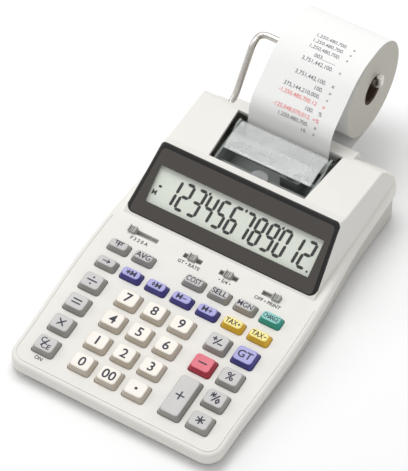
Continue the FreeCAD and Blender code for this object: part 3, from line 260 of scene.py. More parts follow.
def bump(tree, shader, height, strength, distance):
    """Let a texture's height tilt the surface; distance is in metres."""
    relief = tree.nodes.new("ShaderNodeBump")
    relief.inputs["Strength"].default_value = strength
    relief.inputs["Distance"].default_value = distance
    tree.links.new(height, relief.inputs["Height"])
    tree.links.new(relief.outputs["Normal"], shader.inputs["Normal"])


def shade_of(base, share):
    """The base colour, darker or lighter by a share."""
    return tuple(min(1.0, channel * share) for channel in base)


def plastic_finish(name, base, rough=0.45, grain=2600.0, relief=0.12, soil=0.94, specular=0.4):
    """Moulded plastic: fine spark-eroded grain, slight colour drift and uneven gloss."""
    finish, tree, shader = new_finish(name)
    drift = noise(tree, 35.0, 5.0)
    tone = mixed(tree, drift.outputs["Fac"], shade_of(base, soil), shade_of(base, 1.03))
    tree.links.new(tone, shader.inputs["Base Color"])
    handling = noise(tree, 60.0, 3.0)
    gloss = between(tree, handling.outputs["Fac"], rough - 0.05, rough + 0.07)
    tree.links.new(gloss, shader.inputs["Roughness"])
    fine = noise(tree, grain, 2.0)
    bump(tree, shader, fine.outputs["Fac"], relief, 0.06 * MM)
    shader.inputs["Specular IOR Level"].default_value = specular
    return finish


def ink_finish(name, base, rough=0.55):
    """Printed ink: slightly uneven cover."""
    finish, tree, shader = new_finish(name)
    cover = noise(tree, 1800.0, 3.0)
    tone = mixed(tree, cover.outputs["Fac"], base, shade_of(base, 1.8))
    tree.links.new(tone, shader.inputs["Base Color"])
    gloss = between(tree, cover.outputs["Fac"], rough - 0.06, rough + 0.06)
    tree.links.new(gloss, shader.inputs["Roughness"])
    return finish


def clear_finish(name, tint, rough=0.04, cover=0.25):
    """Thin clear acrylic with faint handling haze; cover is how much of the light it stops, and the pale tint
    over that share is a painted milky sheen in place of the surface's reflections.
    """
    finish, tree, shader = new_finish(name)
    haze = noise(tree, 90.0, 4.0)
    tree.links.new(mixed(tree, haze.outputs["Fac"], shade_of(tint, 0.96), tint), shader.inputs["Base Color"])
    tree.links.new(between(tree, haze.outputs["Fac"], rough, rough + 0.05), shader.inputs["Roughness"])
    tree.links.new(between(tree, haze.outputs["Fac"], cover * 0.9, cover * 1.1), shader.inputs["Alpha"])
    shader.inputs["IOR"].default_value = 1.49
    shader.inputs["Specular IOR Level"].default_value = 0.7
    return finish


def metal_finish(name, base, rough=0.28, brush=(1.0, 1.0, 1.0)):
    """Plated metal with fine drawing marks."""
    finish, tree, shader = new_finish(name)
    marks = noise(tree, 900.0, 4.0, brush)
    tree.links.new(mixed(tree, marks.outputs["Fac"], shade_of(base, 0.88), base), shader.inputs["Base Color"])
    tree.links.new(between(tree, marks.outputs["Fac"], rough - 0.06, rough + 0.1), shader.inputs["Roughness"])
    bump(tree, shader, marks.outputs["Fac"], 0.08, 0.03 * MM)
    shader.inputs["Metallic"].default_value = 1.0
    return finish


def paper_finish(name, base, fibre=(1.0, 1.0, 1.0)):
    """Uncoated paper: fibre fleck and a soft, matt surface."""
    finish, tree, shader = new_finish(name)
    fleck = noise(tree, 1500.0, 6.0, fibre)
    tree.links.new(mixed(tree, fleck.outputs["Fac"], shade_of(base, 0.95), shade_of(base, 1.02)),
                   shader.inputs["Base Color"])
    tree.links.new(between(tree, fleck.outputs["Fac"], 0.82, 0.92), shader.inputs["Roughness"])
    bump(tree, shader, fleck.outputs["Fac"], 0.15, 0.03 * MM)
    shader.inputs["Specular IOR Level"].default_value = 0.2
    return finish


def roll_end_finish(name, base):
    """The edges of the wound paper: fine rings round the roll's axis."""
    finish, tree, shader = new_finish(name)
    place = tree.nodes.new("ShaderNodeTexCoord")
    rings = tree.nodes.new("ShaderNodeTexWave")
    rings.wave_type = "RINGS"
    rings.rings_direction = "X"
    rings.inputs["Scale"].default_value = 420.0
    rings.inputs["Distortion"].default_value = 2.5
    rings.inputs["Detail"].default_value = 3.0
    tree.links.new(place.outputs["Object"], rings.inputs["Vector"])
    tree.links.new(mixed(tree, rings.outputs["Fac"], shade_of(base, 0.86), shade_of(base, 1.08)),
                   shader.inputs["Base Color"])
    tree.links.new(between(tree, rings.outputs["Fac"], 0.8, 0.9), shader.inputs["Roughness"])
    bump(tree, shader, rings.outputs["Fac"], 0.5, 0.08 * MM)
    return finish


# ---------------------------------------------------------------- mesh helpers

def add_piece(name, build, finishes, body, replaced=(), sharp_angle=40.0):
    """Make a mesh piece from a bmesh and finish it; with a body given, it rides on that body."""
    mesh = bpy.data.meshes.new(name)
    bmesh.ops.recalc_face_normals(build, faces=build.faces)
    build.to_mesh(mesh)
    build.free()
    piece = bpy.data.objects.new(name, mesh)
    bpy.context.scene.collection.objects.link(piece)
    for finish in finishes:
        mesh.materials.append(finish)
    mesh.shade_smooth()
    mesh.set_sharp_from_angle(angle=math.radians(sharp_angle))
    if body:
        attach(piece, body)
    if replaced:
        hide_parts(*replaced)
    return piece


def add_print(name, mesh, ink, body):
    """Make a printed piece from words or signs that are already in place."""
    mesh.materials.clear()
    mesh.materials.append(ink)
    piece = bpy.data.objects.new(name, mesh)
    bpy.context.scene.collection.objects.link(piece)
    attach(piece, body)
    return piece


def rounded_ring(half_x, half_y, radius, steps=7):
    """Points round a rectangle with arc corners, anticlockwise."""
    points = []
    for corner, (sx, sy) in enumerate(((1, -1), (1, 1), (-1, 1), (-1, -1))):
        centre = Vector((sx * (half_x - radius), sy * (half_y - radius), 0))
        for step in range(steps + 1):
            angle = (corner - 1) * math.pi / 2 + step * math.pi / 2 / steps
            points.append(centre + Vector((math.cos(angle), math.sin(angle), 0)) * radius)
    return points


def bridge(build, lower, upper, material=0):
    """Quads between two closed rings of vertices."""
    count = len(lower)
    for here in range(count):
        there = (here + 1) % count
        face = build.faces.new((lower[here], lower[there], upper[there], upper[here]))
        face.material_index = material


def ring_vertices(build, points, place):
    """A vertex at each point, moved to its place."""
    return [build.verts.new(place @ point) for point in points]


def ring_about_x(build, x, radius, count, y=0.0, z=0.0):
    """Vertices in a circle round a line that runs across the machine."""
    turns = [turn * math.tau / count for turn in range(count)]
    return [build.verts.new(Vector((x, y + radius * math.cos(turn), z + radius * math.sin(turn))))
            for turn in turns]


def rod_into(build, start_x, end_x, radius, count, y, z):
    """Add a round rod that runs across the machine."""
    start = ring_about_x(build, start_x, radius, count, y, z)
    end = ring_about_x(build, end_x, radius, count, y, z)
    bridge(build, start, end)
    build.faces.new(end)
    build.faces.new(list(reversed(start)))


def plate_into(build, outline, depth, place=lambda point: point):
    """Add a flat plate with the given outline."""
    low = [build.verts.new(place(point)) for point in outline]
    high = [build.verts.new(place(point + Vector((0, 0, depth)))) for point in outline]
    bridge(build, low, high)
    build.faces.new(high)
    build.faces.new(list(reversed(low)))


def box_into(build, low, high, place=Matrix.Identity(4), material=0):
    """Add a block to a bmesh."""
    corners = [build.verts.new(place @ Vector((x, y, z)))
               for z in (low[2], high[2]) for y in (low[1], high[1]) for x in (low[0], high[0])]
    for quad in ((0, 2, 3, 1), (4, 5, 7, 6), (0, 1, 5, 4), (2, 6, 7, 3), (0, 4, 6, 2), (1, 3, 7, 5)):
        face = build.faces.new([corners[index] for index in quad])
        face.material_index = material


def soften(piece, width):
    """Round a piece's sharp edges."""
    modifier = piece.modifiers.new("edge_round", "BEVEL")
    modifier.width = width
    modifier.segments = 2
    modifier.limit_method = "ANGLE"
    modifier.angle_limit = math.radians(35)
    modifier.harden_normals = False


def text_mesh(words, height, depth, weight=0.0):
    """The words as a flat mesh, in metres; weight thickens the strokes, as a share of the height."""
    curve = bpy.data.curves.new("words", "FONT")
    curve.body = words
    curve.size = height
    curve.offset = height * weight
    curve.align_x = "CENTER"
    curve.align_y = "CENTER"
    curve.extrude = depth / 2
    curve.resolution_u = 4
    holder = bpy.data.objects.new("words", curve)
    bpy.context.scene.collection.objects.link(holder)
    bpy.context.view_layer.update()
    mesh = bpy.data.meshes.new_from_object(holder.evaluated_get(bpy.context.evaluated_depsgraph_get()))
    bpy.data.objects.remove(holder)
    bpy.data.curves.remove(curve)
    return mesh


def centred(mesh):
    """Shift a mesh so that its outline's middle is at the origin; returns its half sizes."""
    xs = [vertex.co.x for vertex in mesh.vertices]
    ys = [vertex.co.y for vertex in mesh.vertices]
    middle = Vector(((min(xs) + max(xs)) / 2, (min(ys) + max(ys)) / 2, 0))
    for vertex in mesh.vertices:
        vertex.co = vertex.co - middle
    return (max(xs) - min(xs)) / 2, (max(ys) - min(ys)) / 2


def deck_box(node):
    """A CAD node's lowest and highest corners in the deck's own directions."""
    back = DECK_TURN.inverted()
    points = [back @ vertex.co for vertex in frame["nodes"][node].data.vertices]
    low = Vector(min(point[axis] for point in points) for axis in range(3))
    high = Vector(max(point[axis] for point in points) for axis in range(3))
    return low, high


def finish_node(node, finish):
    """Give a carried-over CAD node its finish."""
    materials = frame["nodes"][node].data.materials
    materials.clear()
    materials.append(finish)


def axle_point(node):
    """The middle of a node's box, on the machine's centre plane."""
    low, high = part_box(node)
    return Vector((0, (low.y + high.y) / 2, (low.z + high.z) / 2))


def joint_named(name):
    return next(joint for joint in frame["joints"] if joint["name"] == name)


# ---------------------------------------------------------------- keys

def dish(x, y, half_x, half_y, depth):
    """How far the top lies below the keycap's rim at a point."""
    return depth * max(0.0, 1 - (x / half_x) ** 2) * max(0.0, 1 - (y / half_y) ** 2)


def key_finishes():
    """The side and top finishes of each family of keycaps; the side colours carry painted shade on top of the
    keys' own two-tone colouring.
    """
    look = colours()
    families = {}
    for family in ("grey", "ivory", "lilac", "yellow", "green", "red"):
        shaded_side_colour, top_colour = getattr(look, f"{family}_side"), getattr(look, f"{family}_top")
        # The side finish: darker side colour, part moulded two-tone, part painted shade.
        side = plastic_finish(f"{family}_key_side", shaded_side_colour, rough=0.42, grain=1900.0, relief=0.1)
        top = plastic_finish(f"{family}_key_top", top_colour, rough=0.38, grain=1900.0, relief=0.1)
        families[family] = (side, top)
    return families


def key_family(name):
    """The colour family that a key belongs to."""
    if name in IVORY_KEYS:
        return "ivory"
    if name in LILAC_KEYS:
        return "lilac"
    if name.startswith("tax"):
        return "yellow"
    return {"change": "green", "minus": "red"}.get(name, "grey")


def key_top(node):
    """Where a keycap's top middle is, and its half sizes at the deck."""
    low, high = deck_box(node)
    lip = sizes().key_lip
    middle = Vector(((low.x + high.x) / 2, (low.y + high.y) / 2, high.z))
    return middle, (high.x - low.x) / 2 - lip, (high.y - low.y) / 2 - lip


def make_keycap(node, finishes):
    """A tapered cap with soft edges, a dished top, and a skirt that stays in its hole."""
    given = sizes()
    middle, half_x, half_y = key_top(node)
    place = DECK_TURN @ Matrix.Translation(middle)
    tall, taper, depth = given.key_height, given.key_taper, given.key_dish
    edge, skirt = 0.75 * MM, 2.4 * MM
    # each level's height from the top, how far it leans in, and 1 where the top's finish begins
    levels = [(-tall - skirt, 0.0, 0), (-tall, 0.0, 0), (-tall * 0.55, taper * 0.40, 0),
              (-edge, taper * 0.82, 0), (-edge * 0.55, taper * 0.92, 0), (-edge * 0.22, taper * 1.03, 1),
              (-edge * 0.05, taper * 1.22, 1), (0.0, taper * RIM_SHARE, 1)]
    build = bmesh.new()
    rings = []
    for level, inset, _ in levels:
        points = rounded_ring(half_x - inset, half_y - inset, CAP_CORNER + inset * 0.35)
        rings.append(ring_vertices(build, [point + Vector((0, 0, level)) for point in points], place))
    for index in range(len(rings) - 1):
        bridge(build, rings[index], rings[index + 1], levels[index + 1][2])
    inner_x, inner_y = half_x - taper * RIM_SHARE, half_y - taper * RIM_SHARE
    rim = rounded_ring(inner_x, inner_y, CAP_CORNER + taper * 0.5)
    last = rings[-1]
    for share in (0.92, 0.82, 0.7, 0.55, 0.4, 0.25, 0.1):
        points = [Vector((point.x * share, point.y * share,
                          -dish(point.x * share, point.y * share, inner_x, inner_y, depth))) for point in rim]
        ring = ring_vertices(build, points, place)
        bridge(build, last, ring, 1)
        last = ring
    build.faces.new(last).material_index = 1
    build.faces.new(list(reversed(rings[0])))
    name = node.removeprefix("key_")
    add_piece(f"cap_{name}", build, finishes, node + "_body", (node,), 60.0)


def stroke_into(build, start, end, thick, depth):
    """A flat round-ended stroke."""
    start, end = Vector((*start, 0)), Vector((*end, 0))
    along = end - start
    turn = math.atan2(along.y, along.x)
    points = []
    for middle, first in ((end, -90), (start, 90)):
        for step in range(7):
            angle = turn + math.radians(first + step * 30)
            points.append(middle + Vector((math.cos(angle), math.sin(angle), 0)) * thick / 2)
    plate_into(build, points, depth)


def legend_mesh(name, unit, weight):
    """A legend's marks, in metres; unit is the keycap's half depth at the top, weight a stroke's width."""
    build = bmesh.new()
    for word, across, up, tall in LEGENDS[name]:
        reach = unit * tall
        if word in SIGNS:
            part = bmesh.new()
            for start, end in SIGNS[word]:
                stroke_into(part, Vector(start) * reach, Vector(end) * reach, weight, INK_DEPTH)
            for dot in SIGN_DOTS.get(word, ()):
                middle = Vector(dot) * reach
                stretch = Vector((weight * 0.1, 0))
                stroke_into(part, middle - stretch, middle + stretch,
                            weight * (2.1 if word == "point" else 1.4), INK_DEPTH)
            mesh = bpy.data.meshes.new("sign")
            part.to_mesh(mesh)
            part.free()
        else:
            mesh = text_mesh(word, reach, INK_DEPTH, 0.008 if "M" in word else 0.018)
            centred(mesh)
        mesh.transform(Matrix.Translation(Vector((across * unit, up * unit, 0))))
        build.from_mesh(mesh)
    mesh = bpy.data.meshes.new(f"legend_{name}")
    build.to_mesh(mesh)
    build.free()
    return mesh


def legend_for(node, ink):
    """The key's printed legend, laid on its dished top."""
    name = node.removeprefix("key_")
    given = sizes()
    middle, half_x, half_y = key_top(node)
    inner_x = half_x - given.key_taper * RIM_SHARE
    inner_y = half_y - given.key_taper * RIM_SHARE
    side_margin, end_margin = 0.2 * MM, 0.1 * MM
    unit = min(inner_y, 4.4 * MM)
    large = unit > 3 * MM
    mesh = legend_mesh(name, unit, 0.9 * MM if large else 0.62 * MM)
    half_wide, half_high = centred(mesh)
    shrink_x = min(1.0, (inner_x - side_margin) / half_wide)
    shrink_y = min(1.0, (inner_y - end_margin) / half_high)
    place = DECK_TURN @ Matrix.Translation(middle)
    for vertex in mesh.vertices:
        x, y = vertex.co.x * shrink_x, vertex.co.y * shrink_y
        low = dish(x, y, inner_x, inner_y, given.key_dish)
        vertex.co = place @ Vector((x, y, given.ink_lift - low + vertex.co.z))
    add_print(f"legend_{name}", mesh, ink, node + "_body")


class CALC_OT_keys(bpy.types.Operator):
    """Make every keycap and its legend"""
    bl_idname = "calculator.keys"
    bl_label = "Keycaps and legends"

    def execute(self, context):
        families = key_finishes()
        ink = ink_finish("legend_ink", colours().legend)
        for node in KEY_NODES:
            make_keycap(node, families[key_family(node.removeprefix("key_"))])
            legend_for(node, ink)
        middle, _, half_y = key_top("key_clear")
        deck_print("marks_on", "ON", middle.x, middle.y - half_y - 2.6 * MM, 3.4 * MM, ink)
        return {"FINISHED"}


# ---------------------------------------------------------------- case

class CALC_OT_case(bpy.types.Operator):
    """Finish the two case halves and the battery door"""
    bl_idname = "calculator.case"
    bl_label = "Case"

    def execute(self, context):
        look = colours()
        shell = plastic_finish("case_plastic", look.case, rough=0.46, grain=2400.0, relief=0.10, soil=0.97)
        # The lower case and battery door take the darkened base colour, painted shade of the underside.
        shaded_tray = plastic_finish("base_plastic", look.base, rough=0.55, grain=2000.0, relief=0.16, soil=0.93)
        finish_node("upper_case", shell)
        finish_node("lower_case", shaded_tray)
        finish_node("battery_door", shaded_tray)
        return {"FINISHED"}


def deck_print(name, words, x, y, height, ink):
    """Small print on the deck, with its middle at x and y in the deck's own directions."""
    lift = 0.04 * MM
    mesh = text_mesh(words, height, INK_DEPTH, 0.022)
    centred(mesh)
    mesh.transform(DECK_TURN @ Matrix.Translation(Vector((x, y, deck_level() + lift))))
    add_print(name, mesh, ink, "case")


def deck_level():
    """The deck's height in its own directions, under the keycaps."""
    _, high = deck_box(KEY_NODES[0])
    return high.z - sizes().key_height


class CALC_OT_switches(bpy.types.Operator):
    """Finish the slide switches: ribbed knobs, slot beds and their marks"""
    bl_idname = "calculator.switches"
    bl_label = "Slide switches"

    MARKS = {"rounding": "F 3 2 0 A", "rate": "GT • RATE", "decimal": "• 5/4 •", "power": "OFF • PRINT"}

    def execute(self, context):
        look = colours()
        knob = plastic_finish("knob_plastic", look.knob, rough=0.4, grain=1800.0, relief=0.12)
        pale = plastic_finish("slot_bed", look.slot_bed, rough=0.5)
        ink = ink_finish("deck_ink", look.deck_ink)
        for node in SWITCH_NODES:
            low, high = deck_box(node)
            middle, top = (low + high) / 2, high.z
            half_x = (high.x - low.x) / 2 - 1.0 * MM
            self.make_knob(node, middle, half_x, top, knob)
            self.make_slot(node, middle, half_x, pale, ink)
        return {"FINISHED"}

    def make_knob(self, node, middle, half_x, top, finish):
        """A ribbed knob on a stem that reaches down through its slot."""
        head_low = deck_level() + 0.25 * MM
        half_y, stem_half, stem_depth = 2.3 * MM, 1.4 * MM, 2.7 * MM
        floor, ribs, rib_share, dip = 0.8 * MM, 5, 0.72, 0.9 * MM
        left, right = middle.x - half_x, middle.x + half_x
        build = bmesh.new()
        box_into(build, (left, middle.y - stem_half, head_low - stem_depth),
                 (right, middle.y + stem_half, head_low), DECK_TURN)
        pitch = 2 * half_x / ribs
        for rib in range(ribs):
            start = left + rib * pitch
            crown = top - (0.0 if rib in (0, ribs - 1) else dip)
            box_into(build, (start, middle.y - half_y, head_low),
                     (start + pitch * rib_share, middle.y + half_y, crown), DECK_TURN)
        box_into(build, (left, middle.y - half_y, head_low),
                 (right, middle.y + half_y, head_low + floor), DECK_TURN)
        name = node.removeprefix("switch_")
        piece = add_piece(f"knob_{name}", build, (finish,), node + "_body", (node,))
        soften(piece, 0.18 * MM)

    def make_slot(self, node, middle, half_x, finish, ink):
        """The bed under a knob's slot, as long as the knob's travel, and the marks in front of it."""
        start, end = joint_named(node + "_slide")["range_m"]
        centre = middle.x + (start + end) / 2
        reach = (end - start) / 2 + half_x + 1.0 * MM
        half_y, bed_low, bed_high = 2.6 * MM, 4.2 * MM, 3.8 * MM
        build = bmesh.new()
        box_into(build, (centre - reach, middle.y - half_y, deck_level() - bed_low),
                 (centre + reach, middle.y + half_y, deck_level() - bed_high), DECK_TURN)
        name = node.removeprefix("switch_")
        add_piece(f"slot_bed_{name}", build, (finish,), "case")
        deck_print(f"marks_{name}", self.MARKS[name], centre, middle.y - 4.9 * MM, 3.3 * MM, ink)


# ---------------------------------------------------------------- display

def window_frame():
    """The window's directions, from its foot's middle: x across, y up the slope, z out; and its length."""
    points = [vertex.co for vertex in frame["nodes"]["display_window"].data.vertices]
    top = max(points, key=lambda point: (round(point.z, 5), -point.y))
    foot = min(points, key=lambda point: (round(point.y, 5), point.z))
    up = Vector((0, top.y - foot.y, top.z - foot.z))
    slope = math.atan2(up.z, up.y)
    return Matrix.Translation(Vector((0, foot.y, foot.z))) @ Matrix.Rotation(slope, 4, "X"), up.length


# The bars that each sign of the display lights.
SEGMENTS = {
    "0": "abcdef", "1": "bc", "2": "abged", "3": "abgcd", "4": "fgbc", "5": "afgcd", "6": "afgedc",
    "7": "abc", "8": "abcdefg", "9": "abcdfg", "-": "g",
}


BAR_DEPTH = 0.05 * MM


def segment_bars(half_w, half_h):
    """The start and end of each display segment's centre line."""
    return {
        "a": ((-half_w, half_h), (half_w, half_h)), "b": ((half_w, half_h), (half_w, 0)),
        "c": ((half_w, 0), (half_w, -half_h)), "d": ((-half_w, -half_h), (half_w, -half_h)),
        "e": ((-half_w, 0), (-half_w, -half_h)), "f": ((-half_w, half_h), (-half_w, 0)),
        "g": ((-half_w, 0), (half_w, 0)),
    }


def add_bar(build, start, end, bar, place):
    """A pointed bar from start to end, in the display's plane."""
    start, end = Vector((*start, 0)), Vector((*end, 0))
    along = (end - start).normalized()
    side = Vector((-along.y, along.x, 0)) * bar / 2
    start, end = start + along * bar * 0.07, end - along * bar * 0.07
    inner_start, inner_end = start + along * bar / 2, end - along * bar / 2
    outline = [start, inner_start - side, inner_end - side, end, inner_end + side, inner_start + side]
    plate_into(build, outline, BAR_DEPTH, place)


class CALC_OT_display(bpy.types.Operator):
    """Make the window plate, its clear pane, the display and its digits"""
    bl_idname = "calculator.display"
    bl_label = "Display"

    READING = "-123456789012"

    def execute(self, context):
        given, look = sizes(), colours()
        place, length = window_frame()
        gloss = {"grain": 600.0, "relief": 0.02, "soil": 0.95, "specular": 0.5}
        dark = plastic_finish("window_plate", look.window, rough=0.16, **gloss)
        black = plastic_finish("window_border", look.window_edge, rough=0.22, **gloss)
        self.make_plate(place, length, given, dark, black)
        self.make_pane(place, given)
        self.make_reading(place, given, look)
        return {"FINISHED"}

    def pane_middle(self, given):
        """How far up the slope the pane's middle is."""
        return 9.7 * MM + given.pane_height / 2

    def make_plate(self, place, length, given, dark, black):
        """A tapered plate with round corners, a printed border and an opening for the pane."""
        points = [place.inverted() @ vertex.co for vertex in frame["nodes"]["display_window"].data.vertices]
        head = max(point.x for point in points if point.y > length * 0.9)
        foot = max(point.x for point in points if point.y < length * 0.2)
        thick = -min(point.z for point in points)

        def outline(inset, z, band=0.0):
            """The plate's edge at a level, drawn in by an inset or by the printed border."""
            sides, top, bottom = band, band * 1.5, band * 0.25
            corners = [(-foot + sides, bottom, 5.0 * MM - band), (foot - sides, bottom, 5.0 * MM - band),
                       (head - sides, length - top, 3.0 * MM), (-head + sides, length - top, 3.0 * MM)]
            ring = []
            steps = 8
            for index, (x, y, radius) in enumerate(corners):
                before = Vector(corners[index - 1][:2])
                after = Vector(corners[(index + 1) % 4][:2])
                here = Vector((x, y))
                into, out = (here - before).normalized(), (after - here).normalized()
                turn = into.angle(out)
                reach = radius * math.tan(turn / 2)
                centre = here - into * reach + Vector((-into.y, into.x)) * radius
                start = math.atan2(-into.x, into.y)
                for step in range(steps + 1):
                    angle = start + turn * step / steps
                    spread = radius - inset
                    ring.append(Vector((centre.x + spread * math.cos(angle),
                                        centre.y + spread * math.sin(angle), z)))
            return ring

        def opening(z):
            """The pane's four corners at a level."""
            middle, half_x, half_y = self.pane_middle(given), given.pane_width / 2, given.pane_height / 2
            return [Vector((side * half_x, middle + end * half_y, z))
                    for side, end in ((-1, -1), (1, -1), (1, 1), (-1, 1))]

        build = bmesh.new()
        edge = 0.35 * MM
        rings = [outline(0.0, -thick), outline(0.0, -edge), outline(edge * 0.3, -edge * 0.3),
                 outline(edge, 0.0), outline(0.0, 0.0, given.window_border)]
        made = [ring_vertices(build, ring, place) for ring in rings]
        for index in range(4):
            bridge(build, made[index], made[index + 1], 1)
        inner_top = ring_vertices(build, opening(0.0), place)
        inner_low = ring_vertices(build, opening(-thick), place)
        self.fill_between(build, made[-1], inner_top, 0)
        self.fill_between(build, made[0], inner_low, 0)
        bridge(build, inner_low, inner_top, 1)
        add_piece("window_plate", build, (dark, black), "case", ("display_window",), 30.0)

    def fill_between(self, build, ring, corners, material):
        """Faces between a ring with arc corners and the four corners of an opening."""
        count = len(ring) // 4
        for side in range(4):
            first = ring[side * count:(side + 1) * count]
            after = ring[((side + 1) % 4) * count]
            for here, there in zip(first, first[1:]):
                build.faces.new((here, there, corners[side])).material_index = material
            face = build.faces.new((first[-1], after, corners[(side + 1) % 4], corners[side]))
            face.material_index = material

    def make_pane(self, place, given):
        """The clear pane, set a hair below the plate's face."""
        middle = self.pane_middle(given)
        fit = 0.05 * MM
        build = bmesh.new()
        box_into(build, (-given.pane_width / 2 + fit, middle - given.pane_height / 2 + fit, -0.75 * MM),
                 (given.pane_width / 2 - fit, middle + given.pane_height / 2 - fit, -0.08 * MM), place)
        clear = clear_finish("window_pane", colours().pane, rough=0.02, cover=0.02)
        piece = add_piece("window_pane", build, (clear,), "case")
        soften(piece, 0.1 * MM)

    def make_reading(self, place, given, look):
        """Slanted seven-bar digits with a minus sign, thousands marks and a memory sign."""
        panel = [place.inverted() @ vertex.co for vertex in frame["nodes"]["lcd_panel"].data.vertices]
        face = max(point.z for point in panel)
        finish_node("lcd_panel", plastic_finish("display_glass", look.display, rough=0.25, grain=500.0,
                                                relief=0.01, soil=0.98, specular=0.3))
        middle = self.pane_middle(given) - 0.2 * MM
        left = -given.pane_width / 2
        bar = 1.95 * MM
        half_w, half_h = 2.6 * MM, given.digit_height / 2 - bar / 2
        slant = math.tan(math.radians(6.4))
        pitch, last_centre = 8.6 * MM, 50.7 * MM
        level = face + 0.06 * MM
        bars = segment_bars(half_w, half_h)
        build = bmesh.new()
        for index, sign in enumerate(self.READING):
            to_right = len(self.READING) - 1 - index
            minus = sign == "-"
            centre = left + 5.0 * MM if minus else last_centre - to_right * pitch

            def put(point, centre=centre):
                return place @ Vector((centre + point.x + point.y * slant, middle + point.y, level + point.z))

            for letter in SEGMENTS[sign]:
                first, last = bars[letter]
                share, thick = (0.55, 0.8) if minus else (1.0, 1.0)
                add_bar(build, Vector(first) * share, Vector(last) * share, bar * thick, put)
            if not minus and to_right and to_right % 3 == 0:
                tick = Vector((pitch / 2 + 0.2 * MM, half_h + bar * 0.75))
                add_bar(build, tick, tick + Vector((-0.3 * MM, -2.6 * MM)), bar * 0.8, put)
        dot_x, dot_y, dot = half_w + bar * 0.75, -half_h - bar * 0.35, 0.6 * MM
        box_into(build, (dot_x - dot, dot_y - dot, 0.0), (dot_x + dot, dot_y + dot, BAR_DEPTH),
                 place @ Matrix.Translation(Vector((last_centre, middle, level))))
        ink = ink_finish("display_segment", look.segment, rough=0.4)
        add_piece("display_digits", build, (ink,), "case")
        memory = text_mesh("M", 4.4 * MM, BAR_DEPTH, 0.02)
        centred(memory)
        memory.transform(place @ Matrix.Translation(
            Vector((left + 2.9 * MM, middle - 4.6 * MM, face + 0.1 * MM))))
        add_print("display_memory_sign", memory, ink, "case")


# ---------------------------------------------------------------- printer

class CALC_OT_printer(bpy.types.Operator):
    """Finish the printer: frame, rollers, gears, motor, carriage and clear cover"""
    bl_idname = "calculator.printer"
    bl_label = "Printer"

    def execute(self, context):
        look = colours()
        finishes = {
            "printer_frame": plastic_finish("mechanism_plastic", look.mechanism, rough=0.5, grain=1500.0,
                                            relief=0.2),
            "print_carriage": plastic_finish("carriage_plastic", look.carriage, rough=0.42, grain=1500.0,
                                             relief=0.15),
            "ink_roller": plastic_finish("ink_felt", look.felt, rough=0.85, grain=700.0, relief=0.6),
            "platen_roller": plastic_finish("platen_rubber", look.rubber, rough=0.7, grain=1200.0,
                                            relief=0.3),
            "motor_pinion": plastic_finish("pinion_nylon", look.pinion, rough=0.45),
            "drive_motor": metal_finish("motor_can", look.motor, rough=0.32, brush=(1.0, 8.0, 8.0)),
        }
        for node, finish in finishes.items():
            finish_node(node, finish)
        self.make_cover()
        return {"FINISHED"}

    def make_cover(self):
        """A clear arched lid with a saw-toothed tearing edge, a front lip and two hinge pins."""
        low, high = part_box("printer_cover")
        _, hinge_y, hinge_z = joint_named("cover_hinge")["pos_m"]
        half, thick = 30.5 * MM, 1.2 * MM
        front, rear = low.y + 0.1 * MM, high.y - 0.05 * MM
        crown = high.z - 0.05 * MM
        front_z, rear_z, rise = crown - 2.7 * MM, crown - 1.0 * MM, 1.7 * MM
        build = bmesh.new()
        steps, teeth, bite = 16, 60, 0.55 * MM
        rows = []
        for share in [step / steps * 0.95 for step in range(steps + 1)] + [1.0]:
            y = front + (rear - front) * share
            z = front_z + (rear_z - front_z) * share + rise * math.sin(math.pi * share)
            row = []
            for column in range(teeth + 1):
                x = -half + 2 * half * column / teeth
                notch = -bite if share == 1.0 and column % 2 else 0.0
                row.append(build.verts.new(Vector((x, y + notch, z))))
            rows.append(row)
        for lower, upper in zip(rows, rows[1:]):
            for column in range(teeth):
                build.faces.new((lower[column], lower[column + 1], upper[column + 1], upper[column]))
        # The near-white tint at 0.28 cover paints a milky sheen over the lid in place of its reflections.
        clear = clear_finish("cover_acrylic", colours().lid, rough=0.03, cover=0.28)
        bmesh.ops.recalc_face_normals(build, faces=build.faces)
        bmesh.ops.solidify(build, geom=build.faces[:], thickness=thick)
        over = max(vertex.co.z for vertex in build.verts) - crown
        for vertex in build.verts:
            vertex.co.z -= max(0.0, over)
        lip_radius, lip_y, lip_z = 0.6 * MM, front + 0.65 * MM, front_z - over - 0.3 * MM
        rod_into(build, -half, half, lip_radius, 12, lip_y, lip_z)
        pin_inner, pin_outer, pin_radius = half - 1.5 * MM, half + 2.4 * MM, 1.15 * MM
        for side in (-1, 1):
            rod_into(build, side * pin_inner, side * pin_outer, pin_radius, 16, hinge_y, hinge_z)
        add_piece("clear_cover", build, (clear,), "lid", ("printer_cover",), 25.0)


# ---------------------------------------------------------------- paper

def tape_path(tape, centre):
    """Points and outward normals along the tape's outer face, from the printer up and over to the roll."""
    mesh = tape.data
    tree = BVHTree.FromPolygons([vertex.co for vertex in mesh.vertices],
                                [tuple(polygon.vertices) for polygon in mesh.polygons])
    path = []
    steps, reach = 360, 0.3
    for step in range(steps + 1):
        angle = math.radians(215.0 - 150.0 * step / steps)
        away = Vector((0, math.cos(angle), math.sin(angle)))
        place, normal, _, _ = tree.ray_cast(centre + away * reach, -away, reach)
        if place is None or place.z < centre.z - 12.0 * MM:
            continue
        if normal.dot(away) < 0:
            normal = -normal
        travelled = path[-1][0] + (place - path[-1][1]).length if path else 0.0
        path.append((travelled, place, normal))
    return path


def on_path(path, travel):
    """The point and normal at a distance along the path."""
    for before, after in zip(path, path[1:]):
        if before[0] <= travel <= after[0]:
            share = (travel - before[0]) / max(after[0] - before[0], 1e-9)
            return before[1].lerp(after[1], share), before[2].lerp(after[2], share).normalized()
    return path[-1][1], path[-1][2]


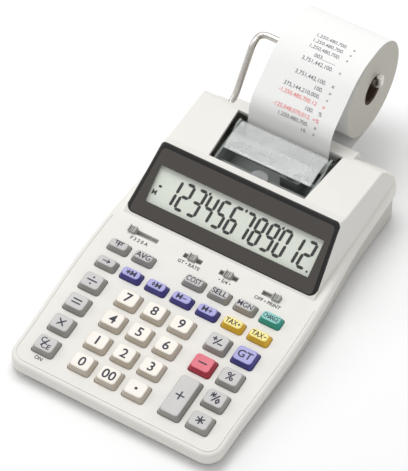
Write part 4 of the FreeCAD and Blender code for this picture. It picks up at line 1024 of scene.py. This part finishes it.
class CALC_OT_paper(bpy.types.Operator):
    """Make the paper roll with its core, the tape and what is printed on it"""
    bl_idname = "calculator.paper"
    bl_label = "Paper roll and tape"

    LINES = ("1,250,480,700.  +", "1,250,480,700.  +", "1,250,480,700.  +", "003............  ",
             "3,751,442,100.  *", "", "3,751,442,100.  x", "100.  =", "375,144,210,000.  *",
             "-1,250,480,700.12  x", "100.  %", "-125,048,070,012.  +%", "1,250,480,700.  x", "10.  =")
    RED_LINES = (9, 11)

    def execute(self, context):
        self.make_roll()
        self.make_tape()
        return {"FINISHED"}

    def make_roll(self):
        """Wound paper with slightly uneven ends, on a card core."""
        given, look = sizes(), colours()
        low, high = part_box("paper_roll")
        half, radius = high.x, (high.z - low.z) / 2
        bore, core = 8.5 * MM, given.core_radius
        edge, paper, end, card = 0.12 * MM, 0, 1, 2
        rows = [(-half + 0.5 * MM, bore, card), (-half + 0.5 * MM, core, card),
                (-half + edge, core + 0.3 * MM, end)]
        waves = 14
        for step in range(1, waves):
            share = step / waves
            dent = 0.14 * MM * math.sin(share * 19.0) * math.cos(share * 7.0)
            rows.append((-half + 0.16 * MM + dent, core + (radius - core) * share, end))
        rows += [(-half, radius - edge, end), (-half + edge, radius, paper)]
        rows += [(-x, reach, material) for x, reach, material in reversed(rows)]
        build = bmesh.new()
        rings = [ring_about_x(build, x, reach, 160) for x, reach, _ in rows]
        for index in range(len(rings) - 1):
            bridge(build, rings[index], rings[index + 1], max(rows[index][2], rows[index + 1][2]))
        bridge(build, rings[-1], rings[0], card)
        finishes = (paper_finish("roll_paper", look.paper),
                    roll_end_finish("roll_end", look.roll_end),
                    paper_finish("roll_core", look.core))
        piece = add_piece("wound_roll", build, finishes, None, (), 30.0)
        piece.location = axle_point("paper_roll")
        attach(piece, "roll")
        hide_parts("paper_roll")

    def make_tape(self):
        """The tape, copied from the CAD sheet from the printer up and over to the roll, with its printed
        rows.
        """
        look = colours()
        source = frame["nodes"]["paper_tape"]
        start, centre = axle_point("platen_roller"), axle_point("paper_roll")
        build = bmesh.new()
        build.from_mesh(source.data)
        self.cut_across(build, *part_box("paper_tape"))
        settle = Matrix.Translation(Vector((0, 0, -0.07 * MM)))
        build.transform(settle)
        finish = paper_finish("tape_paper", look.paper)
        sheet = add_piece("printed_tape", build, (finish,), None, ("paper_tape",), 50.0)
        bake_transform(sheet)
        path = tape_path(source, centre)
        inks = (ink_finish("print_ink", look.print_ink, rough=0.7),
                ink_finish("print_red", look.print_red, rough=0.7))
        rows = [self.row_mesh(line, row, path) for row, line in enumerate(self.LINES)]
        for red, name in enumerate(("tape_figures", "tape_figures_red")):
            build = bmesh.new()
            for row, mesh in enumerate(rows):
                if mesh and (row in self.RED_LINES) == bool(red):
                    build.from_mesh(mesh)
            build.transform(settle)
            piece = add_piece(name, build, (inks[red],), None)
            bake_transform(piece)

    def cut_across(self, build, low, high):
        """Cuts across the sheet in even steps."""
        step = 3.0 * MM
        for axis in (1, 2):
            normal = Vector((0, 0, 0))
            normal[axis] = 1.0
            level = low[axis] + step
            while level < high[axis]:
                point = Vector((0, 0, 0))
                point[axis] = level
                everything = build.verts[:] + build.edges[:] + build.faces[:]
                bmesh.ops.bisect_plane(build, geom=everything, dist=1e-6, plane_co=point, plane_no=normal)
                level += step

    def row_mesh(self, line, row, path):
        """One printed row, its figures flush right and its sign at the edge, or none where the tape ends."""
        pitch, height, stand_off = 4.6 * MM, 3.7 * MM, 0.06 * MM
        first_row, margin = 19.5 * MM, 4.0 * MM
        travel = path[-1][0] - first_row - row * pitch
        if not line or travel < path[0][0] + margin:
            return None
        figures, sign = line.split("  ")
        joined = bmesh.new()
        for words, right in ((figures, 11.5 * MM), (sign, 17.5 * MM)):
            if not words:
                continue
            mesh = text_mesh(words, height, 0.0)
            half, _ = centred(mesh)
            mesh.transform(Matrix.Translation(Vector((right - half, 0, 0))))
            joined.from_mesh(mesh)
        for vertex in joined.verts:
            place, normal = on_path(path, travel + vertex.co.y)
            vertex.co = Vector((vertex.co.x, place.y, place.z)) + normal * stand_off
        mesh = bpy.data.meshes.new("row")
        joined.to_mesh(mesh)
        joined.free()
        return mesh


# ---------------------------------------------------------------- arm and base

class CALC_OT_arm(bpy.types.Operator):
    """Finish the wire arm that carries the roll"""
    bl_idname = "calculator.arm"
    bl_label = "Roll arm"

    def execute(self, context):
        finish_node("paper_arm", metal_finish("plated_wire", colours().wire, rough=0.3))
        return {"FINISHED"}


class CALC_OT_base(bpy.types.Operator):
    """Finish the feet, screws, socket, board and membrane"""
    bl_idname = "calculator.base"
    bl_label = "Base and inner parts"

    def execute(self, context):
        look = colours()
        finishes = {
            "rubber_feet": plastic_finish("foot_rubber", look.rubber, rough=0.75, grain=900.0, relief=0.4),
            "case_screws": metal_finish("screw_steel", look.screw, rough=0.35),
            "adaptor_jack": plastic_finish("jack_plastic", look.jack, rough=0.4),
            "main_board": plastic_finish("board_mask", look.board, rough=0.3, grain=400.0, relief=0.1),
            "key_membrane": plastic_finish("membrane_rubber", look.membrane, rough=0.7, grain=800.0,
                                           relief=0.3),
        }
        for node, finish in finishes.items():
            finish_node(node, finish)
        return {"FINISHED"}


# ---------------------------------------------------------------- stage

class CALC_OT_stage(bpy.types.Operator):
    """Set up the floor, the lights and the camera"""
    bl_idname = "calculator.stage"
    bl_label = "Stage"

    def execute(self, context):
        self.make_floor()
        self.make_lights()
        self.make_camera()
        context.scene.view_settings.view_transform = "Standard"
        return {"FINISHED"}

    def make_floor(self):
        """A wide card floor in pale grey."""
        mesh = bpy.data.meshes.new("floor")
        reach = 6.0
        corners = [(-reach, -reach, 0), (reach, -reach, 0), (reach, reach, 0), (-reach, reach, 0)]
        mesh.from_pydata(corners, [], [(0, 1, 2, 3)])
        floor = bpy.data.objects.new("floor", mesh)
        bpy.context.scene.collection.objects.link(floor)
        finish, tree, shader = new_finish("floor_card")
        grain = noise(tree, 6.0, 3.0)
        tree.links.new(mixed(tree, grain.outputs["Fac"], (0.90, 0.90, 0.90), (0.93, 0.93, 0.93)),
                       shader.inputs["Base Color"])
        shader.inputs["Roughness"].default_value = 0.9
        mesh.materials.append(finish)

    def add_light(self, name, place, width, power):
        """A soft area light that points at the machine."""
        lamp = bpy.data.lights.new(name, "AREA")
        lamp.shape = "RECTANGLE"
        lamp.size = width
        lamp.size_y = width * 0.7
        lamp.energy = power
        holder = bpy.data.objects.new(name, lamp)
        holder.location = place
        holder.rotation_euler = (-Vector(place)).to_track_quat("-Z", "Y").to_euler()
        bpy.context.scene.collection.objects.link(holder)

    def make_lights(self):
        """A white surround, a large light overhead and a weak one from the left."""
        world = bpy.data.worlds.new("studio")
        world.use_nodes = True
        background = world.node_tree.nodes["Background"]
        background.inputs["Color"].default_value = (1.0, 1.0, 1.0, 1.0)
        background.inputs["Strength"].default_value = 0.62
        bpy.context.scene.world = world
        self.add_light("overhead", (-0.35, 0.30, 1.3), width=0.9, power=10.0)
        self.add_light("left_soft", (-1.2, -0.3, 0.9), width=0.8, power=2.5)

    def make_camera(self):
        """A long lens from the front right, looking down on the keyboard."""
        camera = bpy.data.cameras.new("camera")
        camera.lens = 216.0
        camera.sensor_width = 36.0
        camera.clip_end = 20.0
        holder = bpy.data.objects.new("camera", camera)
        holder.location = (0.5427, -0.9342, 1.3680)
        aim = Vector((-0.3238, 0.5338, -0.7812))
        holder.rotation_euler = aim.to_track_quat("-Z", "Y").to_euler()
        bpy.context.scene.collection.objects.link(holder)
        bpy.context.scene.camera = holder


# ---------------------------------------------------------------- panel and registration

STEPS = (CALC_OT_stage, CALC_OT_case, CALC_OT_display, CALC_OT_switches, CALC_OT_keys, CALC_OT_printer,
         CALC_OT_paper, CALC_OT_arm, CALC_OT_base)


class CALC_PT_pieces(bpy.types.Panel):
    """Lists the calculator's building steps"""
    bl_idname = "CALC_PT_pieces"
    bl_label = "Printing calculator"
    bl_space_type = "VIEW_3D"
    bl_region_type = "UI"
    bl_category = "Calculator"

    def draw(self, context):
        for step in STEPS:
            self.layout.operator(step.bl_idname)


CLASSES = (CalculatorSizes, CalculatorColours, *STEPS, CALC_PT_pieces)


def register():
    for item in CLASSES:
        bpy.utils.register_class(item)
    bpy.types.Scene.calculator_sizes = bpy.props.PointerProperty(type=CalculatorSizes)
    bpy.types.Scene.calculator_colours = bpy.props.PointerProperty(type=CalculatorColours)


def unregister():
    del bpy.types.Scene.calculator_colours
    del bpy.types.Scene.calculator_sizes
    for item in reversed(CLASSES):
        bpy.utils.unregister_class(item)


def main():
    register()
    for step in STEPS:
        group, call = step.bl_idname.split(".")
        getattr(getattr(bpy.ops, group), call)()


if __name__ == "__main__":
    main()
